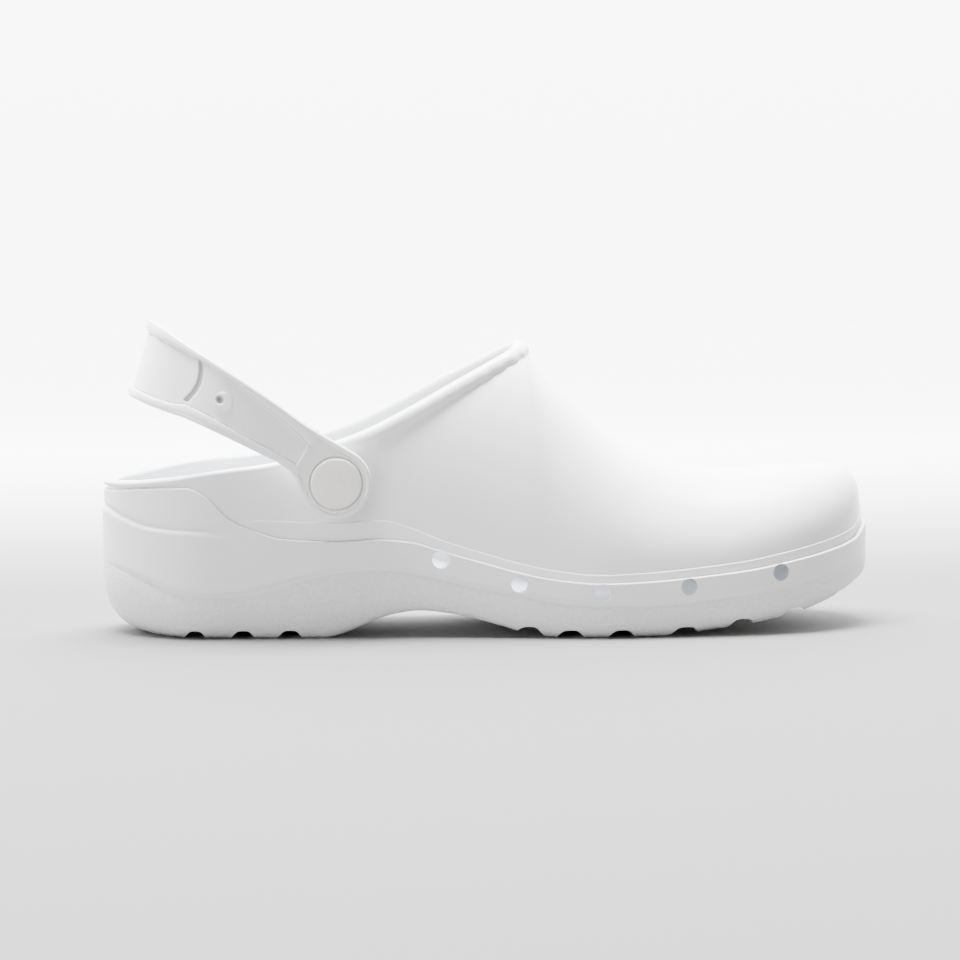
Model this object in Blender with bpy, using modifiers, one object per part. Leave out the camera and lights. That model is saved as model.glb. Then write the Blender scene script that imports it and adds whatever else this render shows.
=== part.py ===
"""A white moulded work clog for the right foot: cup sole, hollow upper, loose insole, riveted heel strap.

+X runs to the toe, +Y to the inner side of the foot and +Z up. The origin is on the floor, at the middle of
the second heel lug."""

import functools
import math

import bmesh
import bpy
import numpy as np
from mathutils import Vector

# Driving sizes in metres
LENGTH = 0.274
BALL_WIDTH = 0.099
LEDGE = 0.0020
WALL = 0.0028
CLEARANCE = 0.0003
HEEL_CUP_HEIGHT = 0.0516
THROAT_HEIGHT = 0.1004
FOOTBED_HEIGHT = 0.0310
INSOLE_THICKNESS = 0.0035
INSOLE_ROUND = 0.0008
ARCH_RISE = 0.0090
TOE_SPRING = 0.0135
TREAD_INSET = 0.0180
FRONT_ROUND = 0.0120
HEEL_ROUND = 0.0370
TOE_ROUND = 0.0600
BAND_HEIGHT = 0.0030
BAND_STEP = 0.0005
SIDE_STEP = 0.0006
EDGE_ROUND = 0.0005
GROOVE_WIDTH = 0.0064
GROOVE_DEPTH = 0.0028
VENT_DIAMETER = 0.0056
VENT_DROP = 0.0040
ROLL_HEIGHT = 0.0060
ROLL_PROUD = 0.0020
ROLL_INSIDE = 0.0006
COLLAR_LEAN = 0.0012
LUG_FROM_HEEL = 0.0394

# The heel strap and its rivets
PIVOT_FROM_HEEL = 0.0790
PIVOT_HEIGHT = 0.0532
STRAP_SLOPE = math.radians(30.6)
STRAP_GAP = 0.0024
STRAP_REACH = 0.0780
STRAP_BEND = 0.0450
STRAP_THICKNESS = 0.0042
STRAP_BEVEL = 0.0011
STRAP_TWIST = 0.26
EAR_RADIUS = 0.0121
PANEL_DEPTH = 0.0011
SLOT_RADIUS = 0.0008
DIMPLE_RADIUS = 0.0026
POCKET_DEPTH = 0.0014
CAP_RADIUS = 0.0086
CAP_GAP = 0.0005
CAP_PROUD = 0.0009
SHANK_RADIUS = 0.0036
BOSS_RADIUS = 0.0095
WASHER_RADIUS = 0.0070
WASHER_THICKNESS = 0.0016
WASHER_BEVEL = 0.0004

# Exponents of the rounded outlines: 2 is an ellipse, more is fuller
HEEL_FULLNESS = 2.0
TOE_FULLNESS = 2.2
FRONT_FULLNESS = 3.0
SOLE_FULLNESS = 2.3
STRAP_FULLNESS = 2.2

# Mesh fineness
STATIONS = 32
ARCH_STEPS = 7
CURL_STEPS = 4
THROAT_STEPS = 6
ROLL_POINTS = 58
ROLL_SIDES = 8
ROUND_SIDES = 16
BEND_STEPS = 10
TURN_STEPS = 20
WELD = 1e-5

# Half widths of the upper at its foot, and where their middle lies, as shares of the upper's ball width
PLAN = (
    # along, outer side, inner side, middle
    (0.00, 0.342, 0.332, 0.000),
    (0.14, 0.342, 0.332, 0.000),
    (0.25, 0.353, 0.323, 0.000),
    (0.35, 0.358, 0.308, 0.000),
    (0.45, 0.393, 0.318, 0.000),
    (0.55, 0.450, 0.368, 0.002),
    (0.64, 0.487, 0.440, 0.010),
    (0.72, 0.484, 0.477, 0.022),
    (0.80, 0.474, 0.479, 0.038),
    (0.90, 0.458, 0.453, 0.062),
    (1.00, 0.442, 0.421, 0.084),
)

# The sole's top edge, as shares of the heel cup's height
EDGE = (
    # along, height
    (0.000, 0.965),
    (0.050, 0.990),
    (0.100, 1.000),
    (0.122, 0.945),
    (0.151, 0.795),
    (0.179, 0.725),
    (0.220, 0.663),
    (0.290, 0.643),
    (0.340, 0.655),
    (0.380, 0.638),
    (0.417, 0.581),
    (0.466, 0.510),
    (0.515, 0.440),
    (0.564, 0.390),
    (0.619, 0.366),
    (0.665, 0.372),
    (0.800, 0.430),
    (0.860, 0.478),
    (0.920, 0.535),
    (0.970, 0.600),
    (1.000, 0.700),
)

# Style lines round the sole's side, as shares of the heel cup's height, and how far each step stands
SIDE = (
    # along, heel line, heel step, low line, low step
    (0.000, 0.850, 1.0, 0.475, 0.0),
    (0.022, 0.800, 1.0, 0.450, 0.6),
    (0.053, 0.745, 1.0, 0.385, 1.0),
    (0.079, 0.728, 1.0, 0.326, 1.0),
    (0.116, 0.718, 1.0, 0.285, 1.0),
    (0.166, 0.710, 0.3, 0.300, 1.0),
    (0.203, 0.640, 0.0, 0.337, 1.0),
    (0.240, 0.600, 0.0, 0.395, 1.0),
    (0.328, 0.600, 0.0, 0.463, 1.0),
    (0.366, 0.600, 0.0, 0.450, 1.0),
    (0.417, 0.530, 0.0, 0.397, 1.0),
    (0.466, 0.460, 0.0, 0.337, 1.0),
    (0.515, 0.390, 0.0, 0.295, 1.0),
    (0.564, 0.340, 0.0, 0.244, 1.0),
    (0.619, 0.315, 0.0, 0.225, 1.0),
    (0.678, 0.318, 0.0, 0.219, 1.0),
    (0.731, 0.335, 0.0, 0.238, 0.8),
    (0.799, 0.370, 0.0, 0.275, 0.4),
    (0.860, 0.415, 0.0, 0.320, 0.0),
    (1.000, 0.620, 0.0, 0.460, 0.0),
)

# The sole's underside and its tread's setback, as shares of the arch's rise, the spring and the inset
UNDERSIDE = (
    # along, arch, spring, inset
    (0.000, 0.00, 0.00, 1.00),
    (0.050, 0.00, 0.00, 0.72),
    (0.100, 0.00, 0.00, 0.50),
    (0.200, 0.00, 0.00, 0.34),
    (0.275, 0.00, 0.00, 0.30),
    (0.300, 0.20, 0.00, 0.29),
    (0.329, 0.56, 0.00, 0.28),
    (0.354, 0.83, 0.00, 0.28),
    (0.392, 1.00, 0.00, 0.28),
    (0.442, 0.82, 0.00, 0.30),
    (0.492, 0.43, 0.00, 0.32),
    (0.530, 0.12, 0.00, 0.33),
    (0.570, 0.00, 0.00, 0.34),
    (0.700, 0.00, 0.00, 0.36),
    (0.760, 0.00, 0.12, 0.38),
    (0.820, 0.00, 0.24, 0.42),
    (0.900, 0.00, 0.48, 0.50),
    (0.944, 0.00, 0.68, 0.55),
    (1.000, 0.00, 1.00, 0.60),
)

# The top of the insole, as shares of the footbed's height
FOOTBED = (
    # along, height
    (0.000, 1.000),
    (0.150, 0.970),
    (0.290, 0.950),
    (0.360, 0.870),
    (0.417, 0.730),
    (0.460, 0.615),
    (0.515, 0.475),
    (0.565, 0.425),
    (0.620, 0.405),
    (0.680, 0.418),
    (0.731, 0.445),
    (0.800, 0.515),
    (0.855, 0.575),
    (0.920, 0.670),
    (1.000, 0.800),
)

# The crest of the form over the whole foot, as shares of the throat's height, and how round its sections are
FORM = (
    # along, crest, ridge to the inner side, outer fullness, inner fullness
    (0.000, 1.500, 0.000, 2.20, 2.20),
    (0.210, 1.280, 0.000, 2.20, 2.20),
    (0.340, 1.090, 0.000, 2.15, 2.20),
    (0.450, 1.022, 0.010, 2.10, 2.20),
    (0.505, 1.016, 0.025, 2.05, 2.20),
    (0.535, 0.993, 0.035, 2.05, 2.20),
    (0.550, 0.944, 0.040, 2.05, 2.20),
    (0.577, 0.864, 0.045, 2.05, 2.20),
    (0.604, 0.797, 0.050, 2.05, 2.20),
    (0.630, 0.728, 0.052, 2.05, 2.20),
    (0.670, 0.650, 0.052, 2.05, 2.25),
    (0.725, 0.584, 0.050, 2.10, 2.30),
    (0.779, 0.556, 0.045, 2.15, 2.35),
    (0.834, 0.548, 0.035, 2.25, 2.40),
    (0.914, 0.559, 0.020, 2.35, 2.40),
    (1.000, 0.563, 0.000, 2.40, 2.40),
)

# The top of the collar, as shares of the rise from the heel cup to the throat, and the roll along it
COLLAR = (
    # along, rise, roll height, roll stand-off
    (-0.20, 0.035, 0.45, 0.80),
    (0.000, 0.038, 0.45, 0.80),
    (0.080, 0.080, 0.50, 0.70),
    (0.115, 0.108, 0.50, 0.10),
    (0.155, 0.140, 0.50, 0.10),
    (0.195, 0.168, 0.50, 0.10),
    (0.235, 0.222, 0.55, 0.15),
    (0.285, 0.325, 0.80, 0.60),
    (0.325, 0.405, 1.00, 1.00),
    (0.390, 0.584, 1.00, 1.00),
    (0.420, 0.675, 1.00, 1.00),
    (0.456, 0.785, 1.00, 1.00),
    (0.500, 0.912, 1.00, 1.00),
    (0.530, 1.000, 1.00, 1.00),
    (0.560, 1.100, 1.00, 1.00),
    (0.700, 1.600, 1.00, 1.00),
)

# The welt band at the upper's foot: its height and how far it stands, as shares of the band's sizes
BAND = (
    # along, height, step
    (0.165, 0.40, 0.2),
    (0.190, 1.30, 0.8),
    (0.220, 1.90, 1.0),
    (0.341, 2.05, 1.0),
    (0.398, 1.25, 1.0),
    (0.450, 1.00, 1.0),
    (0.620, 0.85, 1.0),
    (0.800, 0.95, 1.0),
    (0.920, 1.05, 1.0),
    (1.000, 1.10, 1.0),
)

# Cross grooves of the tread: where along the sole's length, and their widths as shares of the groove's
GROOVES = (
    # along, width
    (0.115, 0.85),
    (0.174, 0.95),
    (0.232, 1.00),
    (0.528, 1.10),
    (0.579, 1.15),
    (0.643, 1.15),
    (0.725, 1.25),
    (0.800, 1.20),
    (0.875, 1.30),
    (0.947, 0.80),
)

# The vents: where along the upper, and how far under the edge as shares of the drop
VENTS = (
    # along, drop
    (0.417, 0.78),
    (0.515, 1.02),
    (0.619, 0.76),
    (0.731, 0.76),
    (0.855, 0.78),
)

# The strap's outline and its sunk panel past the ear, as shares of the reach, the ear and the panel's depth
STRAP = (
    # along, low edge, high edge, panel low, panel high, sunk
    (0.100, -0.760, 1.000, -0.20, 0.40, 0.0),
    (0.140, -0.545, 0.995, -0.12, 0.45, 0.0),
    (0.172, -0.425, 0.995, -0.09, 0.50, 0.0),
    (0.195, -0.365, 1.000, -0.09, 0.56, 1.0),
    (0.260, -0.315, 1.015, -0.09, 0.68, 1.0),
    (0.385, -0.365, 1.095, -0.11, 0.83, 1.0),
    (0.590, -0.465, 1.190, -0.13, 0.98, 1.0),
    (0.730, -0.560, 1.235, -0.18, 1.03, 1.0),
    (0.800, -0.650, 1.255, -0.36, 1.01, 1.1),
    (0.940, -0.800, 1.310, -0.53, 0.98, 1.2),
    (1.000, -0.845, 1.330, -0.56, 0.96, 1.2),
)
BAND_START = 0.165
THROAT_TURN = 0.075
SLOT_ALONG = 0.745
SLOT_ENDS = (-0.12, 1.02)
SLOT_BOW = -0.025
DIMPLE_AT = (0.610, 0.39)

# Where the strap has a cross section: turns round the ear in degrees, then shares of the reach along the arm
EAR_TURNS = (4, 22, 40, 58, 76)
ARM_STOPS = (0, 0.035, 0.07, 0.10, 0.125, 0.15, 0.172, 0.195, 0.24, 0.30, 0.36)

# A tread groove's section, as shares of its half width and its depth
GROOVE_SECTION = (
    # across, up
    (-1.15, -2.00),
    (-1.00, 0.00),
    (-0.85, 0.75),
    (-0.45, 1.00),
    (0.45, 1.00),
    (0.85, 0.75),
    (1.00, 0.00),
    (1.15, -2.00),
)

# The crown of a rivet cap, as shares of the cap's radius and of how far it stands proud
CROWN = (
    # radius, drop
    (0.00, 0.00),
    (0.62, 0.11),
    (0.90, 0.33),
    (1.00, 0.89),
)

# Lengths and places that follow from the sizes above
UPPER_LENGTH = LENGTH - 2 * LEDGE
UPPER_WIDTH = BALL_WIDTH - 2 * LEDGE
COLLAR_RISE = THROAT_HEIGHT - HEEL_CUP_HEIGHT
PIVOT_X = PIVOT_FROM_HEEL - LUG_FROM_HEEL

# Colours as linear values, then roughness
WHITE_UPPER = ((0.86, 0.86, 0.85), 0.42)
WHITE_SOLE = ((0.82, 0.82, 0.81), 0.55)
GREY_INSOLE = ((0.70, 0.71, 0.72), 0.75)
WHITE_STRAP = ((0.86, 0.86, 0.85), 0.40)
WARM_RIVET = ((0.85, 0.83, 0.79), 0.35)


def clear_scene():
    for item in list(bpy.data.objects):
        bpy.data.objects.remove(item, do_unlink=True)


def new_collection(name):
    found = bpy.data.collections.new(name)
    bpy.context.scene.collection.children.link(found)
    return found


def material(name, look):
    colour, roughness = look
    made = bpy.data.materials.new(name)
    made.use_nodes = True
    shader = made.node_tree.nodes["Principled BSDF"]
    shader.inputs["Base Color"].default_value = (*colour, 1)
    shader.inputs["Roughness"].default_value = roughness
    shader.inputs["Metallic"].default_value = 0
    return made


def smooth(table, column, at):
    """A column's value at a place along, on a smooth curve that never leaves the range of its neighbours."""
    along = np.array([row[0] for row in table])
    values = np.array([row[column] for row in table])
    steps = np.diff(along)
    slopes = np.diff(values) / steps
    leans = np.zeros(len(along))
    same = slopes[:-1] * slopes[1:] > 0
    before, after = slopes[:-1][same], slopes[1:][same]
    leans[1:-1][same] = 2 * before * after / (before + after)
    first = int(np.clip(np.searchsorted(along, at) - 1, 0, len(steps) - 1))
    share = float(np.clip((at - along[first]) / steps[first], 0, 1))
    rest = 1 - share
    step = steps[first]
    ends = values[first] * (1 + 2 * share) * rest**2
    ends += values[first + 1] * (3 - 2 * share) * share**2
    turns = leans[first] * share * rest**2 - leans[first + 1] * rest * share**2
    return float(ends + step * turns)


def rounded(share, fullness):
    """The height of a rounded quarter, 1 at share 0 and 0 at share 1."""
    inside = min(max(share, 0.0), 1.0)
    return (1 - inside**fullness) ** (1 / fullness)


def along_x(at):
    return LEDGE + at * UPPER_LENGTH - LUG_FROM_HEEL


def along_share(x):
    return (x + LUG_FROM_HEEL - LEDGE) / UPPER_LENGTH


def end_width(at):
    """How much of the full width is left near the heel's back and the toe's tip."""
    heel = rounded(1 - at * UPPER_LENGTH / HEEL_ROUND, HEEL_FULLNESS)
    toe = rounded(1 - (1 - at) * UPPER_LENGTH / TOE_ROUND, TOE_FULLNESS)
    return heel * toe


def outline_y(at, side):
    """The upper's foot in plan: side is -1 on the outer side and 1 on the inner one."""
    half = smooth(PLAN, 1 if side < 0 else 2, at) * end_width(at)
    return (smooth(PLAN, 3, at) + side * half) * UPPER_WIDTH


def outline_point(at, side, out):
    """A point of the upper's foot in plan, moved outward by out."""
    if at <= 0 or at >= 1:
        ahead = 1 if at >= 1 else -1
        return along_x(at) + ahead * out, outline_y(at, side)
    step = min(0.002, at / 2, (1 - at) / 2)
    run = 2 * step * UPPER_LENGTH
    rise = outline_y(at + step, side) - outline_y(at - step, side)
    size = math.hypot(run, rise)
    return along_x(at) - side * rise / size * out, outline_y(at, side) + side * run / size * out


def edge_height(at):
    return smooth(EDGE, 1, at) * HEEL_CUP_HEIGHT


def under_height(at):
    return smooth(UNDERSIDE, 1, at) * ARCH_RISE + smooth(UNDERSIDE, 2, at) * TOE_SPRING


def footbed_height(at):
    return smooth(FOOTBED, 1, at) * FOOTBED_HEIGHT


def tray_height(at):
    return footbed_height(at) - INSOLE_THICKNESS - CLEARANCE


def foot_height(at):
    """Where the upper's visible wall starts, just over the sole's edge."""
    return edge_height(at) + CLEARANCE


def crest_height(at):
    front = rounded(1 - (1 - at) * UPPER_LENGTH / FRONT_ROUND, FRONT_FULLNESS)
    foot = foot_height(at)
    return foot + (smooth(FORM, 1, at) * THROAT_HEIGHT - foot) * front


def ridge_y(at):
    return (smooth(PLAN, 3, at) + smooth(FORM, 2, at)) * UPPER_WIDTH


def fullness(at, side):
    return smooth(FORM, 3 if side < 0 else 4, at)


def roll_height(at):
    return smooth(COLLAR, 2, at) * ROLL_HEIGHT


def rim_height(at, y=0.0):
    """The height of the upper's top edge, inside the roll and a little higher on the inner side."""
    lean = COLLAR_LEAN * y / UPPER_WIDTH
    return HEEL_CUP_HEIGHT + smooth(COLLAR, 1, at) * COLLAR_RISE - roll_height(at) / 2 + lean


def outside(x, y, z):
    """Less than 0 inside the closed form of the upper and more than 0 outside it."""
    at = along_share(x)
    if not 0 < at < 1:
        return 1.0
    ridge = ridge_y(at)
    side = -1 if y < ridge else 1
    power = fullness(at, side)
    across = abs(y - ridge) / max(abs(outline_y(at, side) - ridge), WELD)
    up = max(z - foot_height(at), 0.0) / max(crest_height(at) - foot_height(at), WELD)
    return across**power + up**power - 1


def wall_y(at, side, z):
    """Where the outer face of the upper's wall lies at a height."""
    power = fullness(at, side)
    up = (z - foot_height(at)) / (crest_height(at) - foot_height(at))
    return ridge_y(at) + (outline_y(at, side) - ridge_y(at)) * rounded(up, power)


@functools.cache
def throat_place():
    """Where along the foot the crest comes down to the collar's edge."""
    behind, ahead = 0.0, 1.0
    for _ in range(40):
        at = (behind + ahead) / 2
        if crest_height(at) > rim_height(at):
            behind = at
        else:
            ahead = at
    return (behind + ahead) / 2


@functools.cache
def stations():
    """Places along the foot, closer at its ends and where the front of the collar turns across the foot."""
    throat = throat_place()
    turns = [math.pi / 2 * step / THROAT_STEPS for step in range(THROAT_STEPS + 1)]
    turned_in = [throat - THROAT_TURN * (1 - math.cos(turn)) for turn in turns]
    evenly = [(1 - math.cos(math.pi * step / STATIONS)) / 2 for step in range(STATIONS + 1)]
    apart = 1 / STATIONS
    others = [place for place in evenly if not turned_in[-1] - apart / 2 < place < throat + apart / 2]
    return tuple(sorted(turned_in + others))


def add_mesh(name, points, faces, group, turn=True):
    mesh = bpy.data.meshes.new(name)
    mesh.from_pydata([tuple(point) for point in points], [], faces)
    work = bmesh.new()
    work.from_mesh(mesh)
    bmesh.ops.remove_doubles(work, verts=work.verts, dist=WELD)
    if turn:
        bmesh.ops.recalc_face_normals(work, faces=work.faces)
        bmesh.ops.triangulate(work, faces=work.faces)
    work.to_mesh(mesh)
    work.free()
    made = bpy.data.objects.new(name, mesh)
    group.objects.link(made)
    return made


def finish(item, look):
    item.data.materials.append(look)
    item.data.shade_smooth()
    item.data.set_sharp_from_angle(angle=math.radians(40))


def hide(cutter):
    cutter.hide_render = True
    cutter.display_type = "WIRE"


def boolean(item, other, operation):
    hide(other)
    modifier = item.modifiers.new(f"{operation.lower()} {other.name}", "BOOLEAN")
    modifier.operation = operation
    modifier.object = other
    modifier.solver = "EXACT"


def weld(item):
    """Closes up the hair-thin faces that a cut leaves, so that the next one starts clean."""
    modifier = item.modifiers.new("weld", "WELD")
    modifier.merge_threshold = WELD


def loop_ring(height, out):
    """A closed ring round the outline: height and out are functions of the place along."""
    places = stations()
    lateral = [(*outline_point(at, -1, out(at)), height(at)) for at in places]
    medial = [(*outline_point(at, 1, out(at)), height(at)) for at in places[1:-1]]
    return lateral + medial[::-1]


def stacked(name, rings, group):
    """A solid from rings round the outline, closed across at the first and the last ring."""
    size = len(rings[0])
    half = size // 2
    points = [point for ring in rings for point in ring]
    faces = []
    for level in range(len(rings) - 1):
        for step in range(size):
            low = level * size
            ahead = (step + 1) % size
            faces.append((low + step, low + ahead, low + size + ahead, low + size + step))
    for start in (0, (len(rings) - 1) * size):
        for step in range(half):
            corners = (step, step + 1, size - step - 1, (size - step) % size)
            faces.append([start + corner for corner in dict.fromkeys(corners)])
    return add_mesh(name, points, faces, group)


def heel_line(at):
    return min(smooth(SIDE, 1, at) * HEEL_CUP_HEIGHT, edge_height(at) - 4 * EDGE_ROUND)


def low_line(at):
    return min(smooth(SIDE, 3, at) * HEEL_CUP_HEIGHT, heel_line(at) - 4 * EDGE_ROUND)


def tread_out(at):
    """How far out the edge of the tread lies from the upper's foot."""
    return LEDGE - smooth(UNDERSIDE, 3, at) * TREAD_INSET


def below_low_line(at):
    return LEDGE - SIDE_STEP * smooth(SIDE, 4, at)


def above_heel_line(at):
    return LEDGE - SIDE_STEP * smooth(SIDE, 2, at)


def curl_ring(turn):
    """A ring of the curve from the tread's edge, at turn 0, up to the low line, at a quarter turn."""
    up = 1 - math.cos(turn) ** (2 / SOLE_FULLNESS)
    out = math.sin(turn) ** (2 / SOLE_FULLNESS)
    return loop_ring(
        lambda at: under_height(at) + (low_line(at) - EDGE_ROUND - under_height(at)) * up,
        lambda at: tread_out(at) + (below_low_line(at) - tread_out(at)) * out,
    )


def sole_rings():
    """Rings from the edge of the underside, up the side, over the ledge and down to the tray."""
    return [curl_ring(math.pi / 2 * step / CURL_STEPS) for step in range(CURL_STEPS + 1)] + [
        loop_ring(lambda at: low_line(at) + EDGE_ROUND, lambda at: LEDGE),
        loop_ring(lambda at: heel_line(at) - EDGE_ROUND, lambda at: LEDGE),
        loop_ring(lambda at: heel_line(at) + EDGE_ROUND, above_heel_line),
        loop_ring(lambda at: edge_height(at) - EDGE_ROUND, above_heel_line),
        loop_ring(edge_height, lambda at: above_heel_line(at) - EDGE_ROUND),
        loop_ring(edge_height, lambda at: CLEARANCE),
        loop_ring(tray_height, lambda at: CLEARANCE),
    ]


def groove_cutter(number, along, width, group):
    """A rounded channel straight across the tread, wider at its mouth."""
    x = along * LENGTH - LUG_FROM_HEEL
    at = along_share(x)
    half = width * GROOVE_WIDTH / 2
    low = under_height(at)
    reach = BALL_WIDTH
    points = [
        (x + across * half, side * reach, low + up * GROOVE_DEPTH)
        for side in (-1, 1)
        for across, up in GROOVE_SECTION
    ]
    count = len(GROOVE_SECTION)
    faces = [(step, (step + 1) % count, count + (step + 1) % count, count + step) for step in range(count)]
    faces += [tuple(range(count)), tuple(range(count, 2 * count))]
    return add_mesh(f"groove_cutter_{number}", points, faces, group)


def cross_cylinder(name, radius, x, z, y_from, y_to, group, sides=ROUND_SIDES):
    """A cylinder along Y."""
    work = bmesh.new()
    bmesh.ops.create_cone(
        work, cap_ends=True, segments=sides, radius1=radius, radius2=radius, depth=abs(y_to - y_from)
    )
    mesh = bpy.data.meshes.new(name)
    work.to_mesh(mesh)
    work.free()
    made = bpy.data.objects.new(name, mesh)
    made.location = (x, (y_from + y_to) / 2, z)
    made.rotation_euler = (math.pi / 2, 0, 0)
    group.objects.link(made)
    return made


def vent_cutters(group):
    cutters = []
    for number, (along, drop) in enumerate(VENTS, 1):
        z = edge_height(along) - drop * VENT_DROP
        name = f"vent_cutter_{number}"
        cutters.append(
            cross_cylinder(name, VENT_DIAMETER / 2, along_x(along), z, -BALL_WIDTH, BALL_WIDTH, group)
        )
    return cutters


def make_sole(group, cutters, vents, look):
    sole = stacked("sole", sole_rings(), group)
    for number, (along, width) in enumerate(GROOVES, 1):
        boolean(sole, groove_cutter(number, along, width, cutters), "DIFFERENCE")
    for vent in vents:
        boolean(sole, vent, "DIFFERENCE")
    finish(sole, look)


def make_insole(group, look):
    edge = -(WALL + CLEARANCE)
    rings = [
        loop_ring(lambda at: tray_height(at) + CLEARANCE, lambda at: edge - INSOLE_ROUND),
        loop_ring(lambda at: tray_height(at) + CLEARANCE + INSOLE_ROUND, lambda at: edge),
        loop_ring(lambda at: footbed_height(at) - INSOLE_ROUND, lambda at: edge),
        loop_ring(footbed_height, lambda at: edge - INSOLE_ROUND),
    ]
    finish(stacked("insole", rings, group), look)


def upper_section(at):
    """The upper's outer face across the foot, from the outer side's foot to the inner side's.

    Behind the throat it ends at the collar's edge on each side, and past it the two halves meet."""
    foot, crest = foot_height(at), crest_height(at)
    ridge = ridge_y(at)
    halves = []
    for side in (-1, 1):
        power = fullness(at, side)
        top = min(crest, rim_height(at, outline_y(at, side))) if at < throat_place() else crest
        end = math.asin(min(((top - foot) / max(crest - foot, WELD)) ** (power / 2), 1.0))
        y_foot = outline_y(at, side)
        half = [(along_x(at), y_foot, tray_height(at) + CLEARANCE)]
        for number in range(ARCH_STEPS + 1):
            turn = end * number / ARCH_STEPS
            y = ridge + (y_foot - ridge) * max(math.cos(turn), 0) ** (2 / power)
            half.append((along_x(at), y, foot + (crest - foot) * math.sin(turn) ** (2 / power)))
        halves.append(half)
    return halves[0] + halves[1][::-1]


def upper_sheet(group):
    sections = [upper_section(at) for at in stations()]
    size = len(sections[0])
    points = [point for section in sections for point in section]
    faces = []
    for number in range(len(sections) - 1):
        for step in range(size - 1):
            low = number * size + step
            if step != size // 2 - 1:
                faces.append((low, low + size, low + size + 1, low + 1))
    return add_mesh("upper", points, faces, group, turn=False)


def welt_band(group):
    """A low band round the upper's foot, from waist to waist round the toe, sunk halfway into the wall."""
    places = [at for at in stations() if at > BAND_START]
    sides = [(at, -1) for at in places] + [(at, 1) for at in places[-2::-1]]
    rings = []
    for at, side in sides:
        foot = foot_height(at)
        top = foot + smooth(BAND, 1, at) * BAND_HEIGHT
        stand = smooth(BAND, 2, at) * BAND_STEP
        low = foot + CLEARANCE / 2
        section = (
            (stand, low),
            (stand, top - BAND_STEP),
            (stand - BAND_STEP, top),
            (-WALL / 2, top),
            (-WALL / 2, low),
        )
        rings.append([(*outline_point(at, side, out), height) for out, height in section])
    return swept("welt_band", rings, group, closed=False)


def topline():
    """Points evenly spaced along the collar's cut edge, found on rays from inside the opening."""
    middle = along_x(0.30)
    found = []
    for step in range(4 * ROLL_POINTS):
        turn = 2 * math.pi * step / (4 * ROLL_POINTS)
        near, far = 0.0, LENGTH
        for _ in range(40):
            reach = (near + far) / 2
            x, y = middle + reach * math.cos(turn), reach * math.sin(turn)
            if outside(x, y, rim_height(along_share(x), y)) < 0:
                near = reach
            else:
                far = reach
        x, y = middle + near * math.cos(turn), near * math.sin(turn)
        found.append((x, y, rim_height(along_share(x), y)))
    closed = np.array(found + found[:1])
    lengths = np.concatenate([[0], np.cumsum(np.linalg.norm(np.diff(closed, axis=0), axis=1))])
    marks = np.linspace(0, lengths[-1], ROLL_POINTS + 1)[:-1]
    return [Vector([np.interp(mark, lengths, closed[:, axis]) for axis in range(3)]) for mark in marks]


def wall_normal(point):
    slopes = []
    for axis in range(3):
        move = Vector([CLEARANCE / 2 if axis == other else 0 for other in range(3)])
        slopes.append(outside(*(point + move)) - outside(*(point - move)))
    return Vector(slopes).normalized()


def collar_roll(group):
    """The rolled edge: an oval swept along the cut edge of the wall."""
    path = topline()
    rings = []
    for number, point in enumerate(path):
        at = along_share(point.x)
        run = (path[(number + 1) % len(path)] - path[number - 1]).normalized()
        inner = point * 0.999 + Vector((along_x(0.30), 0, point.z)) * 0.001
        normal = wall_normal(inner)
        normal = (normal - run * normal.dot(run)).normalized()
        up = normal.cross(run).normalized()
        if up.z < 0:
            up = -up
        stand = smooth(COLLAR, 3, at) * ROLL_PROUD
        depth = (stand + WALL + ROLL_INSIDE) / 2
        middle = point + normal * (stand - depth)
        ring = []
        for side in range(ROLL_SIDES):
            turn = 2 * math.pi * (side + 0.5) / ROLL_SIDES
            ring.append(middle + normal * depth * math.cos(turn) + up * roll_height(at) / 2 * math.sin(turn))
        rings.append(ring)
    return swept("collar_roll", rings, group, closed=True)


def swept(name, rings, group, closed):
    """A skin over a row of rings, joined end to end or capped."""
    size = len(rings[0])
    points = [point for ring in rings for point in ring]
    faces = []
    for number in range(len(rings) if closed else len(rings) - 1):
        low, high = number * size, (number + 1) % len(rings) * size
        for step in range(size):
            ahead = (step + 1) % size
            faces.append((low + step, low + ahead, high + ahead, high + step))
    if not closed:
        faces.append(tuple(range(size)))
        faces.append(tuple(range(len(points) - size, len(points))))
    return add_mesh(name, points, faces, group)


@functools.cache
def strap_inner():
    """How far out the inside of the strap's arms lies, clear of the upper's wider side at the rivets."""
    at = along_share(PIVOT_X)
    return max(abs(wall_y(at, side, PIVOT_HEIGHT)) for side in (-1, 1)) + STRAP_GAP


def strap_outer():
    return strap_inner() + STRAP_THICKNESS


def boss_inner(side):
    """The flat inside face of a rivet boss, a little inside the wall all over the boss."""
    at = along_share(PIVOT_X)
    wall = wall_y(at, side, PIVOT_HEIGHT + BOSS_RADIUS)
    return wall - side * (WALL + ROLL_INSIDE)


def side_name(side):
    return "lateral" if side < 0 else "medial"


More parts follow.
